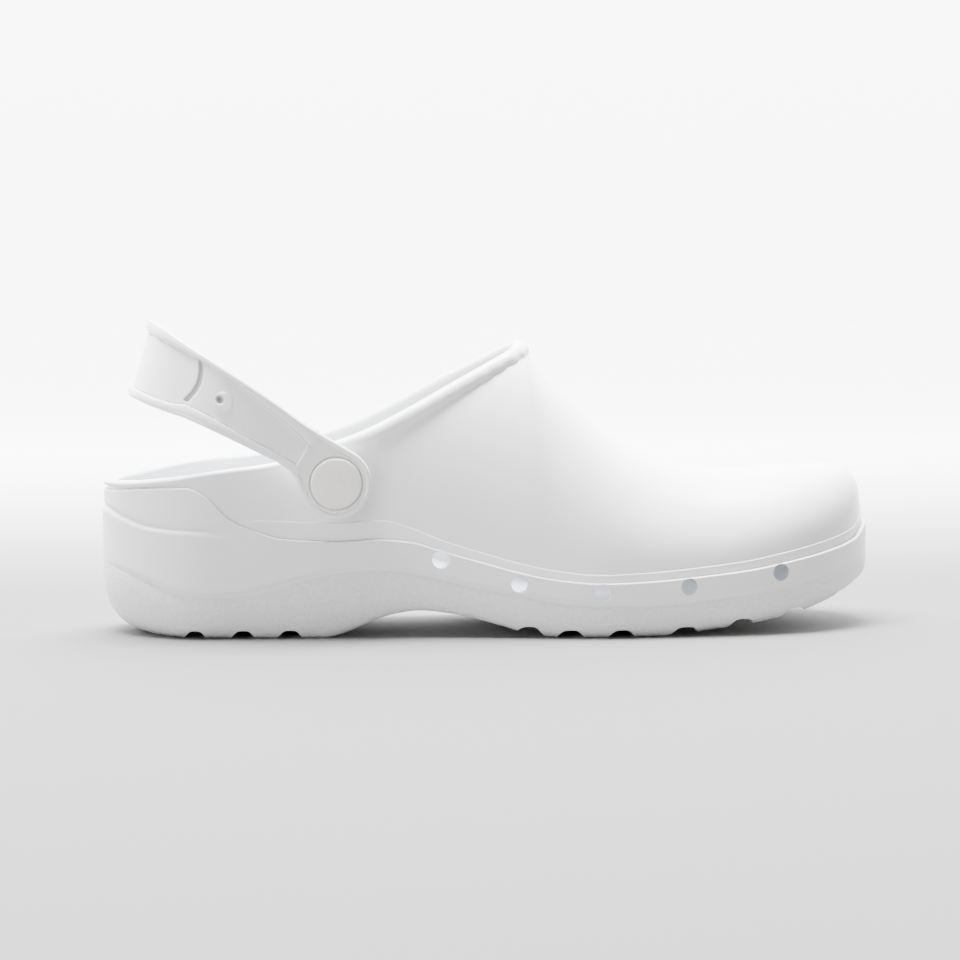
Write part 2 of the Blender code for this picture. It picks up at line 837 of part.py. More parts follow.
def make_upper(group, cutters, vents, look):
    upper = upper_sheet(group)
    shell = upper.modifiers.new("wall", "SOLIDIFY")
    shell.thickness = WALL
    shell.offset = -1
    upper.modifiers.new("flat faces", "TRIANGULATE")
    boolean(upper, welt_band(cutters), "UNION")
    weld(upper)
    boolean(upper, collar_roll(cutters), "UNION")
    for side in (-1, 1):
        name = side_name(side)
        outer = side * (strap_inner() - CLEARANCE)
        boss = cross_cylinder(
            f"boss_{name}", BOSS_RADIUS, PIVOT_X, PIVOT_HEIGHT, boss_inner(side), outer, cutters
        )
        boolean(upper, boss, "UNION")
        radius, far = SHANK_RADIUS + CLEARANCE, side * BALL_WIDTH
        bore = cross_cylinder(f"upper_bore_{name}", radius, PIVOT_X, PIVOT_HEIGHT, 0, far, cutters)
        boolean(upper, bore, "DIFFERENCE")
    for vent in vents:
        boolean(upper, vent, "DIFFERENCE")
    finish(upper, look)


def strap_path(turn):
    """How far back and how far out the strap's outer face is at a turn of its rear bend."""
    straight = STRAP_REACH - STRAP_BEND
    back = straight + STRAP_BEND * math.sin(turn) ** (2 / STRAP_FULLNESS)
    out = strap_outer() * max(math.cos(turn), 0.0) ** (2 / STRAP_FULLNESS)
    return back, out


def strap_place(back, out, normal, height, depth, side):
    """A point of the strap in the world, from its place in the strap's own slanted plane."""
    twist = STRAP_TWIST * height * min(max(back / STRAP_REACH, 0), 1) ** 2
    along = back - normal[0] * depth + twist
    across = out - normal[1] * depth
    x = PIVOT_X - along * math.cos(STRAP_SLOPE) + height * math.sin(STRAP_SLOPE)
    z = PIVOT_HEIGHT + along * math.sin(STRAP_SLOPE) + height * math.cos(STRAP_SLOPE)
    return Vector((x, side * across, z))


def strap_stops():
    """Places along one arm, as how far back, how far out and the outward direction there."""
    ear = [-EAR_RADIUS * math.cos(math.radians(turn)) for turn in EAR_TURNS]
    straight = STRAP_REACH - STRAP_BEND
    apart = STRAP_THICKNESS / 2
    backs = ear + [share * STRAP_REACH for share in ARM_STOPS if share * STRAP_REACH < straight - apart]
    stops = [(back, strap_outer(), (0.0, 1.0)) for back in backs + [straight]]
    for step in range(1, BEND_STEPS + 1):
        turn = math.pi / 2 * step / BEND_STEPS
        back, out = strap_path(turn)
        ahead, behind = strap_path(min(turn + 0.01, math.pi / 2)), strap_path(turn - 0.01)
        run, drop = ahead[0] - behind[0], behind[1] - ahead[1]
        size = math.hypot(run, drop)
        stops.append((back, out, (drop / size, run / size)))
    stops[-1] = (stops[-1][0], 0.0, (1.0, 0.0))
    return stops


def strap_limits(back):
    """The low edge, the high edge, the panel's two edges and its depth at a place along the strap."""
    share = back / STRAP_REACH
    round_half = math.sqrt(max(EAR_RADIUS**2 - back**2, 0.0))
    low, high = (smooth(STRAP, column, share) * EAR_RADIUS for column in (1, 2))
    if share < STRAP[0][0]:
        low = -round_half
        high = round_half if back < 0 else EAR_RADIUS
    panel_low, panel_high = (smooth(STRAP, column, share) * EAR_RADIUS for column in (3, 4))
    sunk = smooth(STRAP, 5, share) * PANEL_DEPTH
    if share < STRAP[0][0]:
        panel_low, panel_high = low * 0.3, high * 0.3
    return low, high, panel_low, panel_high, sunk


def strap_ring(stop, side):
    back, out, normal = stop
    low, high, panel_low, panel_high, sunk = strap_limits(back)
    bevel = min(STRAP_BEVEL, (high - low) / 5)
    ramp = min(STRAP_BEVEL, (high - low) / 8)
    thick = STRAP_THICKNESS
    section = (
        (high - bevel, 0),
        (panel_high + ramp, 0),
        (panel_high, sunk),
        (panel_low, sunk),
        (panel_low - ramp, 0),
        (low + bevel, 0),
        (low, bevel),
        (low, thick - bevel),
        (low + bevel, thick),
        (high - bevel, thick),
        (high, thick - bevel),
        (high, bevel),
    )
    return [strap_place(back, out, normal, height, depth, side) for height, depth in section]


def strap_surface(along, height, depth, side):
    """A point on the strap's outer face, sunk by depth, at shares of the reach and of the ear."""
    back = along * STRAP_REACH
    straight = STRAP_REACH - STRAP_BEND
    share = max(back - straight, 0) / STRAP_BEND
    turn = math.asin(min(share, 1) ** (STRAP_FULLNESS / 2))
    ahead, behind = strap_path(turn + 0.01), strap_path(max(turn - 0.01, 0))
    run, drop = ahead[0] - behind[0], behind[1] - ahead[1]
    size = math.hypot(run, drop)
    out = strap_path(turn)[1]
    return strap_place(back, out, (drop / size, run / size), height * EAR_RADIUS, depth, side)


def slot_cutter(side, group):
    """The bowed slot that ends the sunk panel, as a thin bent rod laid in the face."""
    low, high = SLOT_ENDS
    count = 9
    rings = []
    centres = []
    for step in range(count):
        share = step / (count - 1)
        bow = SLOT_BOW * math.sin(math.pi * share)
        centres.append(strap_surface(SLOT_ALONG + bow, low + (high - low) * share, PANEL_DEPTH, side))
    for number, centre in enumerate(centres):
        run = (centres[min(number + 1, count - 1)] - centres[max(number - 1, 0)]).normalized()
        across = run.cross(Vector((0, 1, 0))).normalized()
        up = run.cross(across)
        turns = [math.pi * corner / 4 for corner in range(8)]
        spokes = [across * math.cos(turn) + up * math.sin(turn) for turn in turns]
        rings.append([centre + spoke * SLOT_RADIUS for spoke in spokes])
    return swept(f"slot_cutter_{side_name(side)}", rings, group, closed=False)


def dimple_cutter(side, group):
    along, height = DIMPLE_AT
    name = f"dimple_cutter_{side_name(side)}"
    work = bmesh.new()
    bmesh.ops.create_uvsphere(work, u_segments=16, v_segments=10, radius=DIMPLE_RADIUS)
    mesh = bpy.data.meshes.new(name)
    work.to_mesh(mesh)
    work.free()
    made = bpy.data.objects.new(name, mesh)
    made.location = strap_surface(along, height, PANEL_DEPTH - DIMPLE_RADIUS * 0.45, side)
    group.objects.link(made)
    return made


def make_strap(group, cutters, look):
    stops = strap_stops()
    rings = [strap_ring(stop, -1) for stop in stops]
    rings += [strap_ring(stop, 1) for stop in stops[-2::-1]]
    strap = swept("heel_strap", rings, group, closed=False)
    for side in (-1, 1):
        name = side_name(side)
        outer = side * strap_outer()
        pocket = cross_cylinder(
            f"pocket_{name}",
            CAP_RADIUS + CAP_GAP,
            PIVOT_X,
            PIVOT_HEIGHT,
            outer - side * POCKET_DEPTH,
            outer + side * STRAP_THICKNESS,
            cutters,
            sides=32,
        )
        boolean(strap, pocket, "DIFFERENCE")
        bore = cross_cylinder(
            f"strap_bore_{name}", SHANK_RADIUS + CLEARANCE, PIVOT_X, PIVOT_HEIGHT, 0, 2 * outer, cutters
        )
        boolean(strap, bore, "DIFFERENCE")
        boolean(strap, slot_cutter(side, cutters), "DIFFERENCE")
        boolean(strap, dimple_cutter(side, cutters), "DIFFERENCE")
    finish(strap, look)


def turned(name, profile, side, y_zero, group, look):
    """A profile of radii and heights turned about Y at the pivot, heights counted outward from y_zero."""
    mesh = bpy.data.meshes.new(name)
    count = len(profile)
    closed = profile[0][0] > 0
    edges = [(step, step + 1) for step in range(count - 1)] + ([(count - 1, 0)] if closed else [])
    mesh.from_pydata([(radius, 0, height) for radius, height in profile], edges, [])
    made = bpy.data.objects.new(name, mesh)
    screw = made.modifiers.new("turn", "SCREW")
    screw.steps = TURN_STEPS
    screw.render_steps = TURN_STEPS
    screw.use_merge_vertices = True
    screw.merge_threshold = WELD
    made.location = (PIVOT_X, side * y_zero, PIVOT_HEIGHT)
    made.rotation_euler = (-side * math.pi / 2, 0, 0)
    group.objects.link(made)
    made.data.materials.append(look)
    return made


def make_rivets(group, look):
    """On each side a cap with its shank through the ear and the wall, and a head inside the wall."""
    seat = strap_outer() - POCKET_DEPTH + CLEARANCE
    top = strap_outer() + CAP_PROUD
    for side in (-1, 1):
        inside = abs(boss_inner(side)) - CLEARANCE
        end = inside - WASHER_THICKNESS
        crown = [(radius * CAP_RADIUS, top - drop * CAP_PROUD) for radius, drop in CROWN]
        cap = (
            *crown,
            (CAP_RADIUS, seat),
            (SHANK_RADIUS, seat),
            (SHANK_RADIUS, end),
            (0.0, end),
        )
        turned(f"rivet_cap_{side_name(side)}", cap, side, 0, group, look)
        washer = (
            (WASHER_RADIUS, inside),
            (WASHER_RADIUS, end + WASHER_BEVEL),
            (WASHER_RADIUS - WASHER_BEVEL, end),
            (SHANK_RADIUS + CLEARANCE, end),
            (SHANK_RADIUS + CLEARANCE, inside),
        )
        turned(f"rivet_washer_{side_name(side)}", washer, side, 0, group, look)


def main():
    clear_scene()
    group = new_collection("chef_clog")
    cutters = new_collection("cutters")
    vents = vent_cutters(cutters)
    make_sole(group, cutters, vents, material("moulded foam sole", WHITE_SOLE))
    make_upper(group, cutters, vents, material("moulded foam upper", WHITE_UPPER))
    make_insole(group, material("foam insole", GREY_INSOLE))
    make_strap(group, cutters, material("moulded foam strap", WHITE_STRAP))
    make_rivets(group, material("moulded rivet", WARM_RIVET))


main()
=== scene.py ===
"""A white moulded work clog for the right foot, dressed for the studio.

+X runs to the toe, +Y to the inner side of the foot and +Z up, in metres."""

import functools
import math

import bpy
import numpy as np
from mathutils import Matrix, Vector


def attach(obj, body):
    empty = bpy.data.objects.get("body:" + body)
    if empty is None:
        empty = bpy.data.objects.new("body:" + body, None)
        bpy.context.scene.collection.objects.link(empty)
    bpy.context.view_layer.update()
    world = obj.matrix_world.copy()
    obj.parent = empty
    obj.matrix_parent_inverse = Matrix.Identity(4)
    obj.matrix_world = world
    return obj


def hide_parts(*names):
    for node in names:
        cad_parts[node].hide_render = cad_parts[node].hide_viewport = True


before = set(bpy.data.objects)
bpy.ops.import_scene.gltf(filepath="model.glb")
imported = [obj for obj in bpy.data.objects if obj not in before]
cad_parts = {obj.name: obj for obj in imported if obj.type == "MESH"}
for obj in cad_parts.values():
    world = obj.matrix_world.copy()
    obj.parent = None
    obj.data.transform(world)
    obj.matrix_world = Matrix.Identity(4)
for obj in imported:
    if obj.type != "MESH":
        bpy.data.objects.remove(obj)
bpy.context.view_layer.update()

MM = 0.001

# The camera stands off the outer side, turned a little so that the toe is farther away
CAMERA_TURN = math.radians(7.0)
CAMERA_TILT = 0.0651
CAMERA_DISTANCE = 0.8976
CAMERA_HEIGHT = 0.110
CAMERA_MIDDLE = 0.0933
CAMERA_LENS = 95
CAMERA_SENSOR = 36

# Sizes of the clog in metres
LENGTH = 0.274
BALL_WIDTH = 0.099
LEDGE = 0.0020
WALL = 0.0028
CLEARANCE = 0.0003
HEEL_CUP_HEIGHT = 0.0516
THROAT_HEIGHT = 0.1004
FOOTBED_HEIGHT = 0.0310
INSOLE_THICKNESS = 0.0035
INSOLE_ROUND = 0.0008
ARCH_RISE = 0.0090
TOE_SPRING = 0.0135
TREAD_INSET = 0.0180
FRONT_ROUND = 0.0120
HEEL_ROUND = 0.0370
TOE_ROUND = 0.0600
BAND_HEIGHT = 0.0030
BAND_STEP = 0.0004
SIDE_STEP = 0.0006
EDGE_ROUND = 0.0005
GROOVE_WIDTH = 0.0064
GROOVE_DEPTH = 0.0028
VENT_DIAMETER = 0.0056
VENT_DROP = 0.0040
ROLL_HEIGHT = 0.0060
ROLL_PROUD = 0.0020
ROLL_INSIDE = 0.0006
COLLAR_LEAN = 0.0012
LUG_FROM_HEEL = 0.0394

# The heel strap and its rivets
PIVOT_FROM_HEEL = 0.0790
PIVOT_HEIGHT = 0.0532
STRAP_SLOPE = math.radians(30.6)
STRAP_GAP = 0.0024
STRAP_REACH = 0.0780
STRAP_BEND = 0.0450
STRAP_THICKNESS = 0.0042
STRAP_BEVEL = 0.0011
STRAP_TWIST = 0.26
EAR_RADIUS = 0.0121
PANEL_DEPTH = 0.0011
SLOT_RADIUS = 0.0008
DIMPLE_RADIUS = 0.0026
POCKET_DEPTH = 0.0014
CAP_RADIUS = 0.0086
CAP_GAP = 0.0005
CAP_PROUD = 0.0009
SHANK_RADIUS = 0.0036
BOSS_RADIUS = 0.0095
WASHER_RADIUS = 0.0070
WASHER_THICKNESS = 0.0016
WASHER_BEVEL = 0.0004

# Exponents of the rounded outlines: 2 is an ellipse, more is fuller
HEEL_FULLNESS = 2.0
TOE_FULLNESS = 2.2
FRONT_FULLNESS = 3.0
SOLE_FULLNESS = 2.3
STRAP_FULLNESS = 2.2

# Half widths of the upper at its foot, and where their middle lies, as shares of the upper's ball width
PLAN = (
    # along, outer side, inner side, middle
    (0.00, 0.342, 0.332, 0.000),
    (0.14, 0.342, 0.332, 0.000),
    (0.25, 0.353, 0.323, 0.000),
    (0.35, 0.358, 0.308, 0.000),
    (0.45, 0.393, 0.318, 0.000),
    (0.55, 0.450, 0.368, 0.002),
    (0.64, 0.487, 0.440, 0.010),
    (0.72, 0.484, 0.477, 0.022),
    (0.80, 0.474, 0.479, 0.038),
    (0.90, 0.458, 0.453, 0.062),
    (1.00, 0.442, 0.421, 0.084),
)

# The sole's top edge, as shares of the heel cup's height
EDGE = (
    # along, height
    (0.000, 0.965),
    (0.050, 0.990),
    (0.100, 1.000),
    (0.122, 0.945),
    (0.151, 0.795),
    (0.179, 0.725),
    (0.220, 0.663),
    (0.290, 0.643),
    (0.340, 0.655),
    (0.380, 0.638),
    (0.417, 0.581),
    (0.466, 0.510),
    (0.515, 0.440),
    (0.564, 0.390),
    (0.619, 0.366),
    (0.665, 0.372),
    (0.800, 0.430),
    (0.860, 0.478),
    (0.920, 0.535),
    (0.970, 0.600),
    (1.000, 0.700),
)

# Style lines round the sole's side, as shares of the heel cup's height, and how far each step stands
SIDE = (
    # along, heel line, heel step, low line, low step
    (0.000, 0.850, 1.0, 0.475, 0.0),
    (0.022, 0.800, 1.0, 0.450, 0.6),
    (0.053, 0.745, 1.0, 0.385, 1.0),
    (0.079, 0.728, 1.0, 0.326, 1.0),
    (0.116, 0.718, 1.0, 0.285, 1.0),
    (0.166, 0.710, 0.3, 0.300, 1.0),
    (0.203, 0.640, 0.0, 0.337, 1.0),
    (0.240, 0.600, 0.0, 0.395, 1.0),
    (0.328, 0.600, 0.0, 0.463, 1.0),
    (0.366, 0.600, 0.0, 0.450, 1.0),
    (0.417, 0.530, 0.0, 0.397, 1.0),
    (0.466, 0.460, 0.0, 0.337, 1.0),
    (0.515, 0.390, 0.0, 0.295, 1.0),
    (0.564, 0.340, 0.0, 0.244, 1.0),
    (0.619, 0.315, 0.0, 0.225, 1.0),
    (0.678, 0.318, 0.0, 0.219, 1.0),
    (0.731, 0.335, 0.0, 0.238, 0.8),
    (0.799, 0.370, 0.0, 0.275, 0.4),
    (0.860, 0.415, 0.0, 0.320, 0.0),
    (1.000, 0.620, 0.0, 0.460, 0.0),
)

# The sole's underside and its tread's setback, as shares of the arch's rise, the spring and the inset
UNDERSIDE = (
    # along, arch, spring, inset
    (0.000, 0.00, 0.00, 1.00),
    (0.050, 0.00, 0.00, 0.72),
    (0.100, 0.00, 0.00, 0.50),
    (0.200, 0.00, 0.00, 0.34),
    (0.275, 0.00, 0.00, 0.30),
    (0.300, 0.20, 0.00, 0.29),
    (0.329, 0.56, 0.00, 0.28),
    (0.354, 0.83, 0.00, 0.28),
    (0.392, 1.00, 0.00, 0.28),
    (0.442, 0.82, 0.00, 0.30),
    (0.492, 0.43, 0.00, 0.32),
    (0.530, 0.12, 0.00, 0.33),
    (0.570, 0.00, 0.00, 0.34),
    (0.700, 0.00, 0.00, 0.36),
    (0.760, 0.00, 0.12, 0.38),
    (0.820, 0.00, 0.24, 0.42),
    (0.900, 0.00, 0.48, 0.50),
    (0.944, 0.00, 0.68, 0.55),
    (1.000, 0.00, 1.00, 0.60),
)

# The top of the insole, as shares of the footbed's height
FOOTBED = (
    # along, height
    (0.000, 1.000),
    (0.150, 0.970),
    (0.290, 0.950),
    (0.360, 0.870),
    (0.417, 0.730),
    (0.460, 0.615),
    (0.515, 0.475),
    (0.565, 0.425),
    (0.620, 0.405),
    (0.680, 0.418),
    (0.731, 0.445),
    (0.800, 0.515),
    (0.855, 0.575),
    (0.920, 0.670),
    (1.000, 0.800),
)

# The crest of the form over the whole foot, as shares of the throat's height, and how round its sections are
FORM = (
    # along, crest, ridge to the inner side, outer fullness, inner fullness
    (0.000, 1.500, 0.000, 2.20, 2.20),
    (0.210, 1.280, 0.000, 2.20, 2.20),
    (0.340, 1.090, 0.000, 2.15, 2.20),
    (0.450, 1.022, 0.010, 2.10, 2.20),
    (0.505, 1.016, 0.025, 2.05, 2.20),
    (0.535, 0.993, 0.035, 2.05, 2.20),
    (0.550, 0.944, 0.040, 2.05, 2.20),
    (0.577, 0.864, 0.045, 2.05, 2.20),
    (0.604, 0.797, 0.050, 2.05, 2.20),
    (0.630, 0.728, 0.052, 2.05, 2.20),
    (0.670, 0.650, 0.052, 2.05, 2.25),
    (0.725, 0.584, 0.050, 2.10, 2.30),
    (0.779, 0.556, 0.045, 2.15, 2.35),
    (0.834, 0.548, 0.035, 2.25, 2.40),
    (0.914, 0.559, 0.020, 2.35, 2.40),
    (1.000, 0.563, 0.000, 2.40, 2.40),
)

# The top of the collar, as shares of the rise from the heel cup to the throat, and the roll along it
COLLAR = (
    # along, rise, roll height, roll stand-off
    (-0.20, 0.035, 0.45, 0.80),
    (0.000, 0.038, 0.45, 0.80),
    (0.080, 0.080, 0.50, 0.70),
    (0.115, 0.108, 0.50, 0.10),
    (0.155, 0.140, 0.50, 0.10),
    (0.195, 0.168, 0.50, 0.10),
    (0.235, 0.222, 0.55, 0.15),
    (0.285, 0.325, 0.80, 0.60),
    (0.325, 0.405, 1.00, 1.00),
    (0.390, 0.584, 1.00, 1.00),
    (0.420, 0.675, 1.00, 1.00),
    (0.456, 0.785, 1.00, 1.00),
    (0.500, 0.912, 1.00, 1.00),
    (0.530, 1.000, 1.00, 1.00),
    (0.560, 1.100, 1.00, 1.00),
    (0.700, 1.600, 1.00, 1.00),
)

# The welt band at the upper's foot: its height and how far it stands, as shares of the band's sizes
BAND = (
    # along, height, step
    (0.165, 0.40, 0.2),
    (0.190, 1.30, 0.8),
    (0.220, 1.90, 1.0),
    (0.341, 2.05, 1.0),
    (0.398, 1.25, 1.0),
    (0.450, 1.00, 1.0),
    (0.620, 0.85, 1.0),
    (0.800, 0.95, 1.0),
    (0.920, 1.05, 1.0),
    (1.000, 1.10, 1.0),
)

# Cross grooves of the tread: where along the sole's length, and their widths as shares of the groove's
GROOVES = (
    # along, width
    (0.115, 0.85),
    (0.174, 0.95),
    (0.232, 1.00),
    (0.528, 1.10),
    (0.579, 1.15),
    (0.643, 1.15),
    (0.725, 1.25),
    (0.800, 1.20),
    (0.875, 1.30),
    (0.947, 0.80),
)

# The vents: where along the upper, and how far under the edge as shares of the drop
VENTS = (
    # along, drop
    (0.417, 0.78),
    (0.515, 1.02),
    (0.619, 0.76),
    (0.731, 0.76),
    (0.855, 0.78),
)

# The strap's outline and its sunk panel past the ear, as shares of the reach, the ear and the panel's depth
STRAP = (
    # along, low edge, high edge, panel low, panel high, sunk
    (0.100, -0.760, 1.000, -0.20, 0.40, 0.0),
    (0.140, -0.545, 0.995, -0.12, 0.45, 0.0),
    (0.172, -0.425, 0.995, -0.09, 0.50, 0.0),
    (0.195, -0.365, 1.000, -0.09, 0.56, 1.0),
    (0.260, -0.315, 1.015, -0.09, 0.68, 1.0),
    (0.385, -0.365, 1.095, -0.11, 0.83, 1.0),
    (0.590, -0.465, 1.190, -0.13, 0.98, 1.0),
    (0.730, -0.560, 1.235, -0.18, 1.03, 1.0),
    (0.800, -0.650, 1.255, -0.36, 1.01, 1.1),
    (0.940, -0.800, 1.310, -0.53, 0.98, 1.2),
    (1.000, -0.845, 1.330, -0.56, 0.96, 1.2),
)

# One side of a tread groove's section, as shares of its half width and its depth
GROOVE_SIDE = (
    # across, up
    (-2.10, -1.50),
    (-1.55, -0.20),
    (-1.28, 0.12),
    (-1.08, 0.40),
    (-0.90, 0.66),
    (-0.70, 0.86),
    (-0.45, 0.97),
)

# Rings of the drills in millimetres: how much wider than the vent or the pocket, and how far past the face
VENT_RINGS = ((1.2, -2.6), (0.0, -1.2), (0.0, -0.7), (0.06, -0.4), (0.20, -0.18), (0.35, 0.0), (0.35, 4.0))
POCKET_RINGS = ((0.0, -0.3), (0.1, -0.1), (0.35, 0.02))

# Where the vents' drills start, and how far the pockets' drills flare and reach past the face, in metres
VENT_MIDDLE = 0.012
POCKET_FLARE = 0.0009
POCKET_REACH = 0.0010

# Places as shares of the upper's length
BAND_START = 0.165
THROAT_TURN = 0.075
COLLAR_MIDDLE = 0.30

# Places on the strap and how fast its forms fade, as shares of its reach, of the ear or of the slot
SLOT_ALONG = 0.745
SLOT_ENDS = (-0.12, 1.02)
SLOT_BOW = -0.025
SLOT_FADE = 0.06
DIMPLE_AT = (0.610, 0.39)
EAR_END = 0.130
EAR_FADE = 0.050
PANEL_START = 0.165
PANEL_END = 0.182
PANEL_FADE = 0.006
FRAME_END = 0.62
FRAME_FADE = 0.1

# Depths and spreads as shares of the slot's, the dimple's and the disc's radii
SLOT_DEPTH = 2.0
SLOT_SPREAD = 0.7
DIMPLE_DEPTH = 0.8
DIMPLE_SPREAD = 0.6
DISC_SHIFT = 0.5

# What the finished pieces add to the solids
LINE_WIDTH = 0.0017
LINE_DEPTH = 0.0007
EAR_RIM = 0.0021
EAR_DIP = 0.0005
RIM_EASE = 0.0006
RIM_DOME = 0.0006
PANEL_LINE = 0.00032
WAVE_LENGTH = 0.0064
WAVE_HEIGHT = 0.00032
SEAM_X = -0.0150
SEAM_WIDTH = 0.0005
SEAM_DEPTH = 0.00025
DISC_RADIUS = 0.0031
DISC_HEIGHT = 0.0005
DISC_EASE = 0.0005
FOOTBED_DISH = 0.0010
DISH_SLOPE = 1.6
DISH_EDGE = 0.1
GRAIN_LIFT = 0.9
BOSS_INNER_BEVEL = 0.0005
BOSS_OUTER_BEVEL = 0.0003
CROWN_SHARES = (0.2, 0.4, 0.6, 0.75, 0.86)
CROWN_FALL = 0.16 * MM
CROWN_DROP = 0.2 * MM
CROWN_EDGE = 0.75 * MM
SHANK_STEP = 0.01 * MM
HEAD_DOME = 0.05 * MM

# How finely the pieces are drawn, and how exactly their places are found
STATIONS = 170
THROAT_STEPS = 20
ARCH_STEPS = 34
CURL_STEPS = 14
EDGE_STEPS = 5
SIDE_ROWS = 84
DISH_RINGS = 24
INSOLE_STEPS = 6
ROLL_POINTS = 360
ROLL_SIDES = 24
STRAP_STEP = 0.00034
STRAP_ROWS = 66
INNER_ROWS = 8
BEVEL_STEPS = 5
BEND_STEPS = 2000
EAR_TURNS = (1, 4, 8, 12, 16, 20, 24, 28, 32)
CROWN_STEPS = 6
VENT_SIDES = 40
BOSS_SIDES = 48
CAP_SIDES = 96
HEAD_SIDES = 64
THROAT_HALVINGS = 40
COLLAR_HALVINGS = 26
SLOPE_STEP = 0.002
INWARD = 0.001
TINY = 1e-5
MERGE = 0.00002
SEAM_MERGE = 0.00001
FINE_MERGE = 0.000005
SMOOTH_ANGLE = math.radians(40)

# How bright the studio is behind the clog, in front and along the horizon, its floor and its lights
AIR_BACK = 12.0
AIR_FRONT = 0.22
AIR_LOW = 8.5
FLOOR_SIZE = 60
FLOOR_GLOW = 4.5
FLOOR_NEAR = "#6E6E6E"
FLOOR_FAR = "#FFFFFF"
FLOOR_FADE = (0.05, 1.3)
LIGHT_AIM = (0.1, 0, 0.05)
LIGHTS = (
    # name, place, size, watts
    ("overhead light", (0.02, 0.14, 1.10), (1.0, 0.40), 120),
    ("front light", (-1.0, -1.0, 0.45), (0.9, 0.6), 13),
)

# The range that most of a noise lies in, and the refraction of the foam and of acetal
NOISE_RANGE = {"From Min": 0.3, "From Max": 0.7}
PLASTIC_IOR = 1.48

# Lengths and places that follow from the sizes above
UPPER_LENGTH = LENGTH - 2 * LEDGE
UPPER_WIDTH = BALL_WIDTH - 2 * LEDGE
COLLAR_RISE = THROAT_HEIGHT - HEEL_CUP_HEIGHT
PIVOT_X = PIVOT_FROM_HEEL - LUG_FROM_HEEL
LINE_GAP = 4 * EDGE_ROUND

# The strap's own two directions in the plane of the arm: away from the pivot, and across it
STRAP_AWAY = (-math.cos(STRAP_SLOPE), math.sin(STRAP_SLOPE))
STRAP_UP = (math.sin(STRAP_SLOPE), math.cos(STRAP_SLOPE))


def curve(table, column):
    """A column as a smooth function of the place along, which never leaves the range of its neighbours."""
    along = [row[0] for row in table]
    values = [row[column] for row in table]
    slopes = [(values[n + 1] - values[n]) / (along[n + 1] - along[n]) for n in range(len(along) - 1)]
    leans = [0.0] * len(along)
    for n in range(1, len(slopes)):
        if slopes[n - 1] * slopes[n] > 0:
            leans[n] = 2 * slopes[n - 1] * slopes[n] / (slopes[n - 1] + slopes[n])

    @functools.cache
    def value(at):
        first = min(max(sum(1 for place in along if place < at) - 1, 0), len(slopes) - 1)
        step = along[first + 1] - along[first]
        share = min(max((at - along[first]) / step, 0.0), 1.0)
        rest = 1 - share
        ends = values[first] * (1 + 2 * share) * rest**2 + values[first + 1] * (3 - 2 * share) * share**2
        return ends + step * (leans[first] * share * rest**2 - leans[first + 1] * rest * share**2)

    return value


def curves(table):
    return [curve(table, column) for column in range(1, len(table[0]))]


outer_half, inner_half, plan_middle = curves(PLAN)
edge_share = curve(EDGE, 1)
heel_line_share, heel_line_step, low_line_share, low_line_step = curves(SIDE)
arch_share, spring_share, inset_share = curves(UNDERSIDE)
footbed_share = curve(FOOTBED, 1)
crest_share, ridge_share, outer_fullness, inner_fullness = curves(FORM)
collar_share, roll_share, stand_share = curves(COLLAR)
band_height, band_step = curves(BAND)
strap_low, strap_high, panel_low, panel_high, panel_sunk = curves(STRAP)


def rounded(share, fullness):
    """The height of a rounded quarter, 1 at share 0 and 0 at share 1."""
    inside = min(max(share, 0.0), 1.0)
    return (1 - inside**fullness) ** (1 / fullness)


def eased(share):
    """A soft step from 0 to 1."""
    inside = min(max(share, 0.0), 1.0)
    return inside * inside * (3 - 2 * inside)


def quarter(steps):
    """Turns from 0 to a quarter turn."""
    return [math.pi / 2 * step / steps for step in range(steps + 1)]


def narrow(near, far, holds, times):
    """Halves the gap between a place where a test holds and one where it doesn't."""
    for _ in range(times):
        middle = (near + far) / 2
        if holds(middle):
            near = middle
        else:
            far = middle
    return near, far


def run_lengths(points):
    """How far along a line of points each one lies."""
    return np.concatenate([[0], np.cumsum(np.linalg.norm(np.diff(points, axis=0), axis=1))])


def along_x(at):
    return LEDGE + at * UPPER_LENGTH - LUG_FROM_HEEL


def along_share(x):
    return (x + LUG_FROM_HEEL - LEDGE) / UPPER_LENGTH


@functools.cache
def outline_y(at, side):
    """The upper's foot in plan: side is -1 on the outer side and 1 on the inner one."""
    heel = rounded(1 - at * UPPER_LENGTH / HEEL_ROUND, HEEL_FULLNESS)
    toe = rounded(1 - (1 - at) * UPPER_LENGTH / TOE_ROUND, TOE_FULLNESS)
    half = (outer_half if side < 0 else inner_half)(at) * heel * toe
    return (plan_middle(at) + side * half) * UPPER_WIDTH


@functools.cache
def outline_way(at, side):
    """The outward direction of the upper's foot in plan."""
    if at <= 0 or at >= 1:
        return (1.0 if at >= 1 else -1.0), 0.0
    step = min(SLOPE_STEP, at / 2, (1 - at) / 2)
    run = 2 * step * UPPER_LENGTH
    rise = outline_y(at + step, side) - outline_y(at - step, side)
    size = math.hypot(run, rise)
    return -side * rise / size, side * run / size


def outline_point(at, side, out):
    way = outline_way(at, side)
    return along_x(at) + way[0] * out, outline_y(at, side) + way[1] * out


def edge_height(at):
    return edge_share(at) * HEEL_CUP_HEIGHT


def under_height(at):
    return arch_share(at) * ARCH_RISE + spring_share(at) * TOE_SPRING


def footbed_height(at):
    return footbed_share(at) * FOOTBED_HEIGHT


def tray_height(at):
    return footbed_height(at) - INSOLE_THICKNESS - CLEARANCE


def foot_height(at):
    return edge_height(at) + CLEARANCE


@functools.cache
def crest_height(at):
    front = rounded(1 - (1 - at) * UPPER_LENGTH / FRONT_ROUND, FRONT_FULLNESS)
    foot = foot_height(at)
    return foot + (crest_share(at) * THROAT_HEIGHT - foot) * front


def ridge_y(at):
    return (plan_middle(at) + ridge_share(at)) * UPPER_WIDTH


